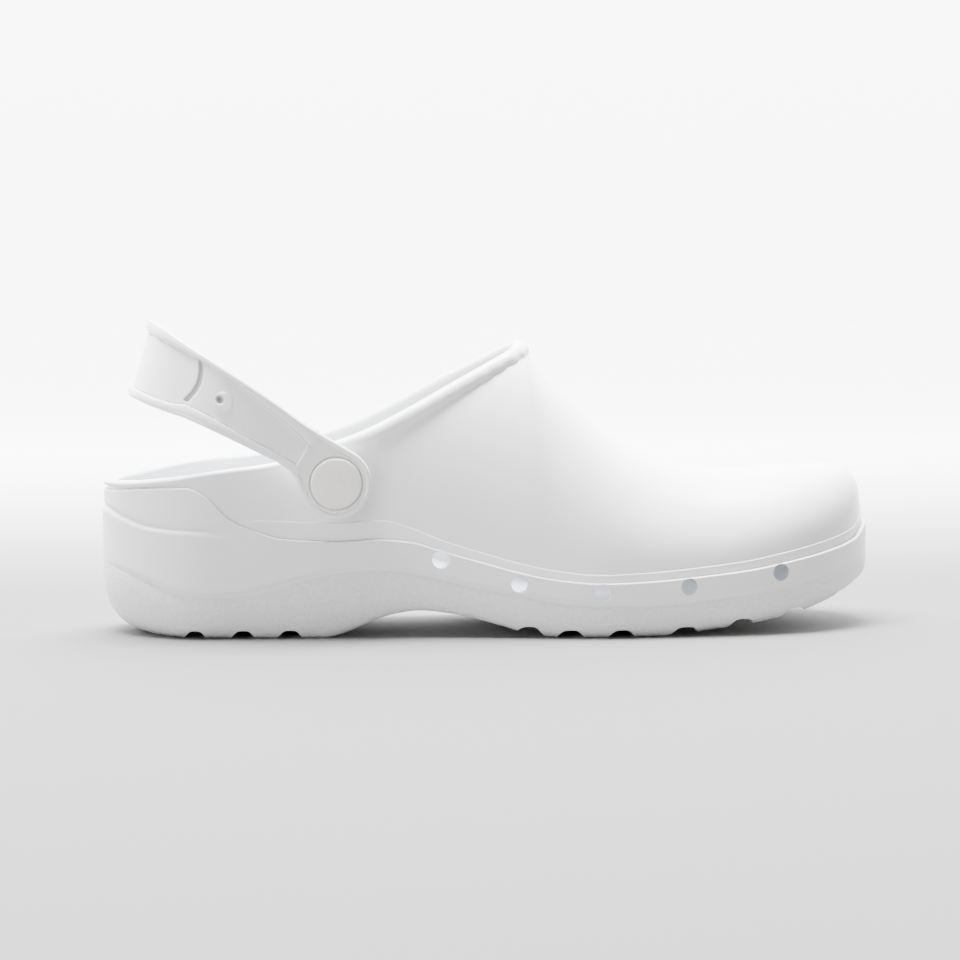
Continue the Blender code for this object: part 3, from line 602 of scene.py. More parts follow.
def fullness(at, side):
    return (outer_fullness if side < 0 else inner_fullness)(at)


def roll_height(at):
    return roll_share(at) * ROLL_HEIGHT


def rim_height(at, y=0.0):
    """The height of the upper's top edge, inside the roll and a little higher on the inner side."""
    lean = COLLAR_LEAN * y / UPPER_WIDTH
    return HEEL_CUP_HEIGHT + collar_share(at) * COLLAR_RISE - roll_height(at) / 2 + lean


def outside(x, y, z):
    """Less than 0 inside the closed form of the upper and more than 0 outside it."""
    at = along_share(x)
    if not 0 < at < 1:
        return 1.0
    ridge = ridge_y(at)
    side = -1 if y < ridge else 1
    power = fullness(at, side)
    across = abs(y - ridge) / max(abs(outline_y(at, side) - ridge), TINY)
    up = max(z - foot_height(at), 0.0) / max(crest_height(at) - foot_height(at), TINY)
    return across**power + up**power - 1


def wall_y(at, side, z):
    """Where the outer face of the upper's wall lies at a height."""
    up = (z - foot_height(at)) / (crest_height(at) - foot_height(at))
    return ridge_y(at) + (outline_y(at, side) - ridge_y(at)) * rounded(up, fullness(at, side))


@functools.cache
def throat_place():
    """Where along the foot the crest comes down to the collar's edge."""
    return sum(narrow(0.0, 1.0, lambda at: crest_height(at) > rim_height(at), THROAT_HALVINGS)) / 2


@functools.cache
def stations():
    """Places along the foot, closer at its ends and where the front of the collar turns across the foot."""
    throat = throat_place()
    turned_in = [throat - THROAT_TURN * (1 - math.cos(turn)) for turn in quarter(THROAT_STEPS)]
    evenly = [(1 - math.cos(math.pi * step / STATIONS)) / 2 for step in range(STATIONS + 1)]
    apart = 1 / STATIONS
    others = [place for place in evenly if not turned_in[-1] - apart / 2 < place < throat + apart / 2]
    return tuple(sorted(turned_in + others))


def pick_only(item):
    bpy.ops.object.select_all(action="DESELECT")
    item.select_set(True)
    bpy.context.view_layer.objects.active = item


def apply_modifier(item, kind, **settings):
    pick_only(item)
    modifier = item.modifiers.new(kind.lower(), kind)
    for name, value in settings.items():
        setattr(modifier, name, value)
    bpy.ops.object.modifier_apply(modifier=modifier.name)


def edit_whole(item, operator):
    """Runs a mesh operator on all of one piece."""
    pick_only(item)
    bpy.ops.object.mode_set(mode="EDIT")
    bpy.ops.mesh.select_all(action="SELECT")
    operator()
    bpy.ops.object.mode_set(mode="OBJECT")


def drape(name, rows, merge=MERGE):
    """A sheet of quads laid over rows of points. Points of two rows or columns that meet are merged."""
    rows = np.array(rows, float)
    high, wide = rows.shape[:2]
    bpy.ops.object.select_all(action="DESELECT")
    bpy.ops.mesh.primitive_grid_add(x_subdivisions=wide - 1, y_subdivisions=high - 1, size=2)
    item = bpy.context.object
    item.name = item.data.name = name
    flat = np.array([point.co for point in item.data.vertices])
    column = np.rint((flat[:, 0] + 1) / 2 * (wide - 1)).astype(int)
    row = np.rint((flat[:, 1] + 1) / 2 * (high - 1)).astype(int)
    item.data.vertices.foreach_set("co", rows[row, column].ravel())
    item.data.update()
    edit_whole(item, lambda: bpy.ops.mesh.remove_doubles(threshold=merge))
    return item


def face_outwards(item):
    edit_whole(item, lambda: bpy.ops.mesh.normals_make_consistent(inside=False))


def close_ends(item):
    """Fills the open ends of a swept strip."""
    pick_only(item)
    bpy.ops.object.mode_set(mode="EDIT")
    bpy.ops.mesh.select_mode(type="EDGE")
    bpy.ops.mesh.select_all(action="DESELECT")
    bpy.ops.mesh.select_non_manifold()
    bpy.ops.mesh.edge_face_add()
    bpy.ops.object.mode_set(mode="OBJECT")


def make_shell(name, rows, open_ends=False):
    """A closed piece of draped rows that faces outwards."""
    item = drape(name, rows)
    if open_ends:
        close_ends(item)
    face_outwards(item)
    return item


def merge_into(item, others):
    """Joins loose parts of one moulding into its piece."""
    pick_only(item)
    for other in others:
        other.select_set(True)
    bpy.ops.object.join()


def cut_away(item, cutter, keep_cutter=False):
    apply_modifier(item, "BOOLEAN", object=cutter, operation="DIFFERENCE", solver="EXACT")
    if not keep_cutter:
        bpy.data.objects.remove(cutter, do_unlink=True)


def settle(item, node, material):
    """Gives a finished piece its material and its place in the clog."""
    pick_only(item)
    bpy.ops.object.shade_smooth_by_angle(angle=SMOOTH_ANGLE, keep_sharp_edges=False)
    item.data.materials.clear()
    item.data.materials.append(material)
    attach(item, "root")
    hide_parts(node)


def cross_rod(name, rings, x, z, side, sides):
    """A turned rod along Y: each ring is a radius and how far out it lies."""
    turns = [2 * math.pi * step / sides for step in range(sides + 1)]
    rows = [
        [(x + radius * math.cos(turn), side * y, z + radius * math.sin(turn)) for turn in turns]
        for radius, y in [(0.0, rings[0][1])] + list(rings) + [(0.0, rings[-1][1])]
    ]
    return make_shell(name, rows)


def vent_drills():
    """Drills for the vents: flared to give soft rims, and wider inside so that no bright wall shows."""
    drills = []
    for number, (along, drop) in enumerate(VENTS, 1):
        z = edge_height(along) - drop * VENT_DROP
        for side in (-1, 1):
            face = abs(outline_y(along, side)) + LEDGE
            rings = [(VENT_DIAMETER / 2 + wider * MM, face + out * MM) for wider, out in VENT_RINGS]
            rings.insert(0, (rings[0][0], VENT_MIDDLE))
            drills.append(cross_rod(f"vent_drill_{number}", rings, along_x(along), z, side, VENT_SIDES))
    merge_into(drills[0], drills[1:])
    return drills[0]


def heel_line(at):
    return min(heel_line_share(at) * HEEL_CUP_HEIGHT, edge_height(at) - LINE_GAP)


def low_line(at):
    return min(low_line_share(at) * HEEL_CUP_HEIGHT, heel_line(at) - LINE_GAP)


def tread_out(at):
    return LEDGE - inset_share(at) * TREAD_INSET


def side_out(at, z):
    """How far the sole's side stands off the outline: proud between its style lines, a trough in each."""
    low, high = low_line(at), heel_line(at)
    below = SIDE_STEP * low_line_step(at) * (1 - eased((z - low) / LINE_WIDTH + 0.5))
    above = SIDE_STEP * heel_line_step(at) * eased((z - high) / LINE_WIDTH + 0.5)
    troughs = 0.0
    for line, depth in ((low, low_line_step(at)), (high, heel_line_step(at))):
        troughs += LINE_DEPTH * depth * math.exp(-(((z - line) / (LINE_WIDTH / 2)) ** 2))
    return LEDGE - below - above - troughs


def loop_ring(height, out):
    """A closed ring round the outline: height and out are functions of the place along."""
    places = stations()
    lateral = [(*outline_point(at, -1, out(at)), height(at)) for at in places]
    medial = [(*outline_point(at, 1, out(at)), height(at)) for at in places[1:]]
    return lateral + medial[::-1] + lateral[:1]


def inner_rings(ring, shares):
    """Rings between a ring and the line down its middle, where its two sides meet."""
    points = np.array(ring)
    middle = (points + points[::-1]) / 2
    return [points + (middle - points) * share for share in shares]


def curl_ring(turn):
    """A ring of the curve from the tread's edge, at turn 0, up to the side's foot, at a quarter turn."""
    up = 1 - math.cos(turn) ** (2 / SOLE_FULLNESS)
    out = math.sin(turn) ** (2 / SOLE_FULLNESS)

    def height(at):
        return under_height(at) + (low_line(at) - LINE_WIDTH - under_height(at)) * up

    def stand(at):
        return tread_out(at) + (side_out(at, low_line(at) - LINE_WIDTH) - tread_out(at)) * out

    return loop_ring(height, stand)


def side_ring(share):
    def height(at):
        low = low_line(at) - LINE_WIDTH
        return low + (edge_height(at) - EDGE_ROUND - low) * share

    return loop_ring(height, lambda at: side_out(at, height(at)))


def edge_ring(turn):
    """A ring of the top edge's rounding, from the side at turn 0 to the ledge at a quarter turn."""

    def out(at):
        return side_out(at, edge_height(at) - EDGE_ROUND) - EDGE_ROUND * (1 - math.cos(turn))

    return loop_ring(lambda at: edge_height(at) - EDGE_ROUND * (1 - math.sin(turn)), out)


def tread_cutter():
    """Rods that cut the cross grooves, with soft shoulders."""
    section = list(GROOVE_SIDE) + [(0.0, 1.0)] + [(-across, up) for across, up in GROOVE_SIDE[::-1]]
    section.append(section[0])
    rods = []
    for number, (along, width) in enumerate(GROOVES, 1):
        x = along * LENGTH - LUG_FROM_HEEL
        low = under_height(along_share(x))
        half = width * GROOVE_WIDTH / 2
        rows = [
            [(x + across * half, y, low + up * GROOVE_DEPTH) for across, up in section]
            for y in (-BALL_WIDTH, BALL_WIDTH)
        ]
        rods.append(make_shell(f"groove_rod_{number}", rows, open_ends=True))
    merge_into(rods[0], rods[1:])
    return rods[0]


def mark_grain(item):
    """Marks the part of the sole's side below the low style line, where the skin is rough."""
    marks = []
    for point in item.data.vertices:
        at = min(max(along_share(point.co.x), 0.0), 1.0)
        marks.append(1 - eased((point.co.z - low_line(at)) / LINE_WIDTH + GRAIN_LIFT))
    item.data.attributes.new("grain", "FLOAT", "POINT").data.foreach_set("value", marks)


def make_sole(material, drills):
    ground = loop_ring(under_height, tread_out)
    rows = inner_rings(ground, (1.0, 0.7, 0.4, 0.15))
    rows += [curl_ring(turn) for turn in quarter(CURL_STEPS)]
    rows += [side_ring(step / SIDE_ROWS) for step in range(1, SIDE_ROWS + 1)]
    rows += [edge_ring(turn) for turn in quarter(EDGE_STEPS)[1:]]
    rows.append(loop_ring(edge_height, lambda at: CLEARANCE + EDGE_ROUND / 2))
    rows.append(loop_ring(lambda at: edge_height(at) - EDGE_ROUND / 2, lambda at: CLEARANCE))
    tray = loop_ring(tray_height, lambda at: CLEARANCE)
    rows.append(tray)
    rows += inner_rings(tray, (0.5, 1.0))
    sole = make_shell("cup_sole", rows)
    mark_grain(sole)
    cut_away(sole, tread_cutter())
    cut_away(sole, drills, keep_cutter=True)
    settle(sole, "sole", material)


def make_insole(material):
    edge = -(WALL + CLEARANCE)

    def low(at):
        return tray_height(at) + CLEARANCE

    foot = loop_ring(low, lambda at: edge - INSOLE_ROUND)
    rows = inner_rings(foot, (1.0, 0.5)) + [foot]
    rows.append(loop_ring(lambda at: low(at) + INSOLE_ROUND, lambda at: edge))
    for turn in quarter(INSOLE_STEPS):
        rows.append(
            loop_ring(
                lambda at: footbed_height(at) - INSOLE_ROUND * (1 - math.sin(turn)),
                lambda at: edge - INSOLE_ROUND * (1 - math.cos(turn)),
            )
        )
    top = inner_rings(rows[-1], [step / DISH_RINGS for step in range(1, DISH_RINGS + 1)])
    for step, ring in enumerate(top, 1):
        ring[:, 2] -= FOOTBED_DISH * eased(step / DISH_RINGS * DISH_SLOPE - DISH_EDGE)
    insole = make_shell("footbed", rows + top)
    settle(insole, "insole", material)


def upper_half(side):
    """The outer face of one side of the upper, from its foot in the sole's cup to the collar or the crest."""
    rows = []
    for at in stations():
        foot, crest, ridge = foot_height(at), crest_height(at), ridge_y(at)
        power, y_foot = fullness(at, side), outline_y(at, side)
        top = min(crest, rim_height(at, y_foot)) if at < throat_place() else crest
        end = math.asin(min(((top - foot) / max(crest - foot, TINY)) ** (power / 2), 1.0))
        row = [(along_x(at), y_foot, tray_height(at) + CLEARANCE)]
        for step in range(ARCH_STEPS + 1):
            turn = end * step / ARCH_STEPS
            y = ridge + (y_foot - ridge) * max(math.cos(turn), 0) ** (2 / power)
            row.append((along_x(at), y, foot + (crest - foot) * math.sin(turn) ** (2 / power)))
        rows.append(row)
    return drape(f"upper_half_{side}", rows, merge=FINE_MERGE)


def make_wall():
    wall = upper_half(-1)
    merge_into(wall, [upper_half(1)])
    wall.name = wall.data.name = "clog_upper"
    edit_whole(wall, lambda: bpy.ops.mesh.remove_doubles(threshold=SEAM_MERGE))
    face_outwards(wall)
    lean = sum(face.normal.y * face.center.y * face.area for face in wall.data.polygons)
    if lean < 0:
        edit_whole(wall, bpy.ops.mesh.flip_normals)
    apply_modifier(wall, "SOLIDIFY", thickness=WALL, offset=-1)
    return wall


def topline():
    """Points evenly spaced along the collar's top edge, found on rays from inside the opening."""
    middle = along_x(COLLAR_MIDDLE)

    def on_ray(turn, reach):
        x, y = middle + reach * math.cos(turn), reach * math.sin(turn)
        return x, y, rim_height(along_share(x), y)

    found = []
    for turn in (math.pi * step / ROLL_POINTS for step in range(2 * ROLL_POINTS)):
        ends = narrow(0.0, LENGTH, lambda reach: outside(*on_ray(turn, reach)) < 0, COLLAR_HALVINGS)
        found.append(on_ray(turn, ends[0]))
    closed = np.array(found + found[:1])
    lengths = run_lengths(closed)
    marks = np.linspace(0, lengths[-1], ROLL_POINTS + 1)[:-1]
    points = [Vector([np.interp(mark, lengths, closed[:, axis]) for axis in range(3)]) for mark in marks]
    return points, lengths[-1]


def wall_normal(point):
    slopes = []
    for axis in range(3):
        move = Vector([CLEARANCE / 2 if axis == other else 0 for other in range(3)])
        slopes.append(outside(*(point + move)) - outside(*(point - move)))
    return Vector(slopes).normalized()


def make_roll():
    """The rolled bead along the collar, whose lower edge runs in very shallow waves."""
    path, length = topline()
    waves = round(length / WAVE_LENGTH)
    rows = []
    for number in range(ROLL_POINTS + 1):
        point = path[number % ROLL_POINTS]
        at = along_share(point.x)
        run = (path[(number + 2) % ROLL_POINTS] - path[(number - 2) % ROLL_POINTS]).normalized()
        # The wall's direction is taken a hair inside its top edge
        inner = point * (1 - INWARD) + Vector((along_x(COLLAR_MIDDLE), 0, point.z)) * INWARD
        normal = wall_normal(inner)
        normal = (normal - run * normal.dot(run)).normalized()
        up = normal.cross(run).normalized()
        if up.z < 0:
            up = -up
        stand = stand_share(at) * ROLL_PROUD
        depth = (stand + WALL + ROLL_INSIDE) / 2
        middle = point + normal * (stand - depth)
        depth -= SEAM_DEPTH * math.exp(-(((point.x - SEAM_X) / SEAM_WIDTH) ** 2))
        wave = WAVE_HEIGHT * roll_share(at) * math.sin(2 * math.pi * waves * number / ROLL_POINTS)
        row = []
        for side in range(ROLL_SIDES + 1):
            turn = 2 * math.pi * (side % ROLL_SIDES) / ROLL_SIDES
            across, rise = math.cos(turn), math.sin(turn)
            height = roll_height(at) / 2 + (wave if rise < 0 else 0)
            row.append(middle + normal * depth * across + up * height * rise)
        rows.append(row)
    return make_shell("collar_bead", rows)


def make_welt():
    """The low welt round the upper's foot, from waist to waist round the toe, with a rounded shoulder."""
    places = [at for at in stations() if at > BAND_START]
    sides = [(at, -1) for at in places] + [(at, 1) for at in places[-2::-1]]
    rows = []
    for at, side in sides:
        low = foot_height(at) - CLEARANCE / 3
        top = foot_height(at) + band_height(at) * BAND_HEIGHT
        stand = band_step(at) * BAND_STEP
        shoulder = [
            (stand - BAND_STEP * (1 - math.cos(turn)), top - BAND_STEP * (1 - math.sin(turn)))
            for turn in (0.0, 0.4, 0.8, 1.2, math.pi / 2)
        ]
        section = [(stand, low)] + shoulder + [(-WALL / 2, top), (-WALL / 2, low), (stand, low)]
        rows.append([(*outline_point(at, side, out), height) for out, height in section])
    return make_shell("welt", rows, open_ends=True)


@functools.cache
def strap_inner():
    """How far out the inside of the strap's arms lies, clear of the upper's wider side at the rivets."""
    at = along_share(PIVOT_X)
    return max(abs(wall_y(at, side, PIVOT_HEIGHT)) for side in (-1, 1)) + STRAP_GAP


def strap_outer():
    return strap_inner() + STRAP_THICKNESS


def boss_inner(side):
    """The flat inside face of a rivet boss, a little inside the wall all over the boss."""
    wall = wall_y(along_share(PIVOT_X), side, PIVOT_HEIGHT + BOSS_RADIUS)
    return abs(wall) - WALL - ROLL_INSIDE


def side_name(side):
    return "lateral" if side < 0 else "medial"


def pivot_rod(name, rings, side, sides):
    """A turned rod on the rivet's axis."""
    return cross_rod(f"{name}_{side_name(side)}", rings, PIVOT_X, PIVOT_HEIGHT, side, sides)


def make_bosses():
    bosses = []
    for side in (-1, 1):
        inner, outer = boss_inner(side), strap_inner() - CLEARANCE
        rings = (
            (BOSS_RADIUS - BOSS_INNER_BEVEL, inner),
            (BOSS_RADIUS, inner + BOSS_INNER_BEVEL),
            (BOSS_RADIUS, outer - BOSS_OUTER_BEVEL),
            (BOSS_RADIUS - BOSS_OUTER_BEVEL, outer),
        )
        bosses.append(pivot_rod("boss", rings, side, BOSS_SIDES))
    return bosses


def make_upper(material, drills):
    wall = make_wall()
    cut_away(wall, drills)
    merge_into(wall, [make_roll(), make_welt()] + make_bosses())
    settle(wall, "upper", material)


def strap_path(turn):
    """How far back and how far out the strap's outer face is at a turn of its rear bend."""
    straight = STRAP_REACH - STRAP_BEND
    back = straight + STRAP_BEND * math.sin(turn) ** (2 / STRAP_FULLNESS)
    out = strap_outer() * max(math.cos(turn), 0.0) ** (2 / STRAP_FULLNESS)
    return back, out


def strap_place(back, out, normal, height, depth, side):
    """A point of the strap in the world, from its place in the strap's own slanted plane."""
    twist = STRAP_TWIST * height * min(max(back / STRAP_REACH, 0), 1) ** 2
    along = back - normal[0] * depth + twist
    across = out - normal[1] * depth
    x = PIVOT_X + along * STRAP_AWAY[0] + height * STRAP_UP[0]
    z = PIVOT_HEIGHT + along * STRAP_AWAY[1] + height * STRAP_UP[1]
    return x, side * across, z


def strap_stops():
    """Places along one arm, as how far back, how far out and the outward direction there."""
    round_end = [-EAR_RADIUS * math.cos(math.radians(turn)) for turn in EAR_TURNS]
    straight = STRAP_REACH - STRAP_BEND
    count = round((straight - round_end[-1]) / STRAP_STEP)
    backs = round_end + [round_end[-1] + (straight - round_end[-1]) * n / count for n in range(1, count + 1)]
    stops = [(back, strap_outer(), (0.0, 1.0)) for back in backs]
    places = np.array([strap_path(turn) for turn in quarter(BEND_STEPS)])
    lengths = run_lengths(places)
    count = round(lengths[-1] / STRAP_STEP)
    for number in range(1, count + 1):
        reach = lengths[-1] * number / count
        marks = (reach - STRAP_STEP, reach, reach + STRAP_STEP)
        near, here, far = ([np.interp(mark, lengths, places[:, axis]) for axis in (0, 1)] for mark in marks)
        run, drop = far[0] - near[0], near[1] - far[1]
        size = math.hypot(run, drop)
        stops.append((float(here[0]), float(here[1]), (drop / size, run / size)))
    stops[-1] = (stops[-1][0], 0.0, (1.0, 0.0))
    return stops


def strap_limits(back, inset):
    """The strap's low and high edges at a place along it, drawn in by inset."""
    radius = EAR_RADIUS - inset
    half = math.sqrt(max(radius**2 - back**2, 0.0))
    share = back / STRAP_REACH
    if back <= 0:
        return -half, half
    if share < STRAP[0][0]:
        return -half, radius
    return strap_low(share) * EAR_RADIUS + inset, strap_high(share) * EAR_RADIUS - inset


def slot_share(back, height):
    """How much of the bowed slot's full depth a place on the strap has."""
    slot_low, slot_high = (end * EAR_RADIUS for end in SLOT_ENDS)
    run = (height - slot_low) / (slot_high - slot_low)
    if not -0.1 < run < 1.1:
        return 0.0
    middle = (SLOT_ALONG + SLOT_BOW * math.sin(math.pi * min(max(run, 0), 1))) * STRAP_REACH
    ends = eased(run / SLOT_FADE + 0.5) * eased((1 - run) / SLOT_FADE + 0.5)
    return ends * math.exp(-(((back - middle) / (SLOT_SPREAD * SLOT_RADIUS)) ** 2))


def dimple_share(back, height):
    away = math.hypot(back - DIMPLE_AT[0] * STRAP_REACH, height - DIMPLE_AT[1] * EAR_RADIUS)
    return max(1 - (away / (DIMPLE_SPREAD * DIMPLE_RADIUS)) ** 2, 0.0)


def mark_painted_hollow_shade(item):
    """Marks the slot and the dimple on the outer face of both arms, which are drawn grey as painted shade."""
    away, up = (Vector((way[0], 0, way[1])) for way in (STRAP_AWAY, STRAP_UP))
    marks = []
    for point in item.data.vertices:
        place = point.co - Vector((PIVOT_X, 0, PIVOT_HEIGHT))
        back, height = place.dot(away), place.dot(up)
        height /= 1 + STRAP_TWIST**2 * (back / STRAP_REACH) ** 4
        back -= STRAP_TWIST * height * (back / STRAP_REACH) ** 2
        # Seen from the middle of the loop, the outer face looks away
        centre = away * min(back, STRAP_REACH - STRAP_BEND) + up * place.dot(up)
        outer_face = point.normal.dot(place - centre) > 0
        marks.append(max(slot_share(back, height), dimple_share(back, height)) if outer_face else 0.0)
    item.data.attributes.new("painted_hollow_shade", "FLOAT", "POINT").data.foreach_set("value", marks)


def face_depth(back, height):
    """How deep the strap's outer face lies: the dished ear, the sunk panel, the bowed slot and the dimple."""
    share = back / STRAP_REACH
    low, high = strap_limits(back, 0.0)
    to_edge = EAR_RADIUS - math.hypot(back, height)
    if back > 0:
        to_edge = min(high - height, to_edge if height < 0 and share < STRAP[0][0] else height - low)
    depth = EAR_DIP * eased((to_edge - EAR_RIM) / RIM_EASE + 0.5) * (1 - eased((share - EAR_END) / EAR_FADE))
    rim = EAR_RIM
    if share > PANEL_START:
        floor_low, floor_high = panel_low(share) * EAR_RADIUS, panel_high(share) * EAR_RADIUS
        rim = max(high - floor_high if height > (low + high) / 2 else floor_low - low, EAR_RIM / 2)
        inside = min(height - floor_low, floor_high - height)
        sunk = panel_sunk(share) * PANEL_DEPTH * eased(inside / RIM_EASE + 1)
        depth += sunk * eased((share - PANEL_END) / PANEL_FADE)
        # A thin raised line frames the panel towards the ear
        from_line = min(inside, (share - PANEL_END) * STRAP_REACH) / PANEL_LINE
        depth -= PANEL_LINE * math.exp(-(from_line**2)) * eased((FRAME_END - share) / FRAME_FADE)
    if to_edge < rim:
        depth += RIM_DOME * (2 * to_edge / rim - 1) ** 2 * eased(2 * to_edge / STRAP_BEVEL)
    slot = SLOT_DEPTH * SLOT_RADIUS * slot_share(back, height)
    depth += slot + DIMPLE_DEPTH * DIMPLE_RADIUS * dimple_share(back, height)
    dimple_back, dimple_height = DIMPLE_AT[0] * STRAP_REACH, DIMPLE_AT[1] * EAR_RADIUS
    disc = math.hypot(back - dimple_back + DISC_SHIFT * DISC_RADIUS, height - dimple_height)
    depth -= DISC_HEIGHT * eased((DISC_RADIUS - disc) / DISC_EASE + 0.5)
    return depth


def strap_row(stop, side):
    """A closed cross section of the strap: outer face, rounded edges and plain inner face."""
    back, out, normal = stop
    spare = max(EAR_RADIUS + back, 0.0) if back < 0 else STRAP_BEVEL
    least = math.asin(1 - spare / STRAP_BEVEL) if spare < STRAP_BEVEL else 0.0
    turns = quarter(BEVEL_STEPS)
    section = []

    def rounding(turn):
        """How far in and how deep it lies, from the face at turn 0 to the rim at a quarter turn."""
        turn = max(turn, least)
        return STRAP_BEVEL * (1 - math.sin(turn)), STRAP_BEVEL * (1 - math.cos(turn))

    def round_edge(turns, edge, inner):
        """Edge is 0 for the low one and 1 for the high one."""
        for turn in turns:
            inset, depth = rounding(turn)
            section.append((strap_limits(back, inset)[edge], STRAP_THICKNESS - depth if inner else depth))

    inset, depth = rounding(0.0)
    low, high = strap_limits(back, inset)
    for step in range(STRAP_ROWS + 1):
        height = high + (low - high) * step / STRAP_ROWS
        section.append((height, depth + (face_depth(back, height) if least == 0.0 else 0.0)))
    round_edge(turns[1:], 0, inner=False)
    round_edge(turns[:0:-1] + turns[:1], 0, inner=True)
    for step in range(1, INNER_ROWS):
        section.append((low + (high - low) * step / INNER_ROWS, STRAP_THICKNESS - depth))
    round_edge(turns, 1, inner=True)
    round_edge(turns[:0:-1], 1, inner=False)
    section.append(section[0])
    return [strap_place(back, out, normal, height, depth, side) for height, depth in section]


def make_strap(material):
    stops = strap_stops()
    rows = [strap_row(stop, -1) for stop in stops] + [strap_row(stop, 1) for stop in stops[-2::-1]]
    strap = make_shell("strap", rows, open_ends=True)
    mark_painted_hollow_shade(strap)
    radius, face = CAP_RADIUS + CAP_GAP, strap_outer()
    rings = [(radius, face - POCKET_DEPTH)]
    rings += [(radius + wider * MM, face - EAR_DIP + out * MM) for wider, out in POCKET_RINGS]
    rings.append((radius + POCKET_FLARE, face + POCKET_REACH))
    pockets = [pivot_rod("pocket", rings, side, CAP_SIDES) for side in (-1, 1)]
    merge_into(pockets[0], pockets[1:])
    cut_away(strap, pockets[0])
    settle(strap, "heel_strap", material)


def make_rivets(material):
    """On each side a bare, slightly domed cap and the smaller head inside the wall."""
    top = strap_outer() + CAP_PROUD
    seat = strap_outer() - POCKET_DEPTH + CLEARANCE
    crown = [(share * CAP_RADIUS, top - CROWN_FALL * share**2) for share in CROWN_SHARES]
    for turn in quarter(CROWN_STEPS):
        drop = CROWN_EDGE * (1 - math.cos(turn))
        crown.append((CAP_RADIUS - CROWN_EDGE * (1 - math.sin(turn)), top - CROWN_DROP - drop))
    for side in (-1, 1):
        inside = boss_inner(side) - CLEARANCE
        end = inside - WASHER_THICKNESS
        body = [(CAP_RADIUS, seat), (SHANK_RADIUS, seat - SHANK_STEP), (SHANK_RADIUS, end)]
        cap = pivot_rod("cap", crown + body, side, CAP_SIDES)
        settle(cap, f"rivet_cap_{side_name(side)}", material)
        rings = [
            (WASHER_RADIUS, inside),
            (WASHER_RADIUS, end + WASHER_BEVEL),
            (WASHER_RADIUS - 0.3 * WASHER_BEVEL, end + 0.3 * WASHER_BEVEL),
            (WASHER_RADIUS - WASHER_BEVEL, end),
            (SHANK_RADIUS + CLEARANCE, end - HEAD_DOME),
        ]
        head = pivot_rod("head", rings, side, HEAD_SIDES)
        settle(head, f"rivet_washer_{side_name(side)}", material)


def colour(code):
    """A hex colour as the eye sees it, turned into linear light."""
    shares = [int(code[at : at + 2], 16) / 255 for at in (1, 3, 5)]
    return tuple(c / 12.92 if c <= 0.04045 else ((c + 0.055) / 1.055) ** 2.4 for c in shares) + (1.0,)


def new_material(name):
    made = bpy.data.materials.new(name)
    made.use_nodes = True
    return made, made.node_tree, made.node_tree.nodes["Principled BSDF"]


def feed(node, inputs):
    """Sets each input to a value, or links it to the output that feeds it."""
    for name, value in inputs.items():
        if isinstance(value, bpy.types.NodeSocket):
            node.id_data.links.new(value, node.inputs[name])
        else:
            node.inputs[name].default_value = value


def add(tree, kind, output, inputs=None, **settings):
    """Adds one node with its settings and links, and gives back one of its outputs."""
    node = tree.nodes.new("ShaderNode" + kind)
    for name, value in settings.items():
        setattr(node, name, value)
    feed(node, inputs or {})
    return node.outputs[output]


def two_tone(tree, pattern, first, second):
    """Two colours that take turns along a noise, which is stretched so that both of them show."""
    share = add(tree, "MapRange", 0, {"Value": pattern, **NOISE_RANGE})
    return add(tree, "Mix", 2, {"Factor": share, 6: colour(first), 7: colour(second)}, data_type="RGBA")


def smooth_foam(name, pale, shade, roughness):
    """EVA foam moulded against polished steel: an even white satin skin with a very faint orange peel."""
    made, tree, shader = new_material(name)
    place = add(tree, "TexCoord", "Object")
    # The two whites drift into each other in clouds about 38 mm across
    cloud = add(tree, "TexNoise", 0, {"Vector": place, "Scale": 1 / (38 * MM)})
    base = two_tone(tree, cloud, shade, pale)
    # Painted shade: the strap's slot and dimple are drawn grey, where the mesh carries the mark
    painted_hollow_shade = add(tree, "Attribute", "Fac", attribute_name="painted_hollow_shade")
    shown = add(tree, "Mix", 2, {"Factor": painted_hollow_shade, 6: base, 7: colour("#8E9096")}, data_type="RGBA")
    # Patches about 9 mm across are a little duller than the rest, as handling leaves them
    patch = add(tree, "TexNoise", 0, {"Vector": place, "Scale": 1 / (9 * MM), "Detail": 3.0})
    ends = {"To Min": roughness - 0.05, "To Max": roughness + 0.06}
    dull = add(tree, "MapRange", 0, {"Value": patch, **NOISE_RANGE, **ends})
    # The peel is about 1.4 mm from crest to crest, and hundredths of a millimetre deep
    peel = add(tree, "TexNoise", 0, {"Vector": place, "Scale": 1 / (1.4 * MM), "Detail": 1.0})
    bump = add(tree, "Bump", 0, {"Height": peel, "Strength": 0.35, "Distance": 0.03 * MM})
    feed(shader, {"Base Color": shown, "Roughness": dull, "Normal": bump, "IOR": PLASTIC_IOR})
    feed(shader, {"Coat Weight": 0.30, "Coat Roughness": 0.28})
    return made


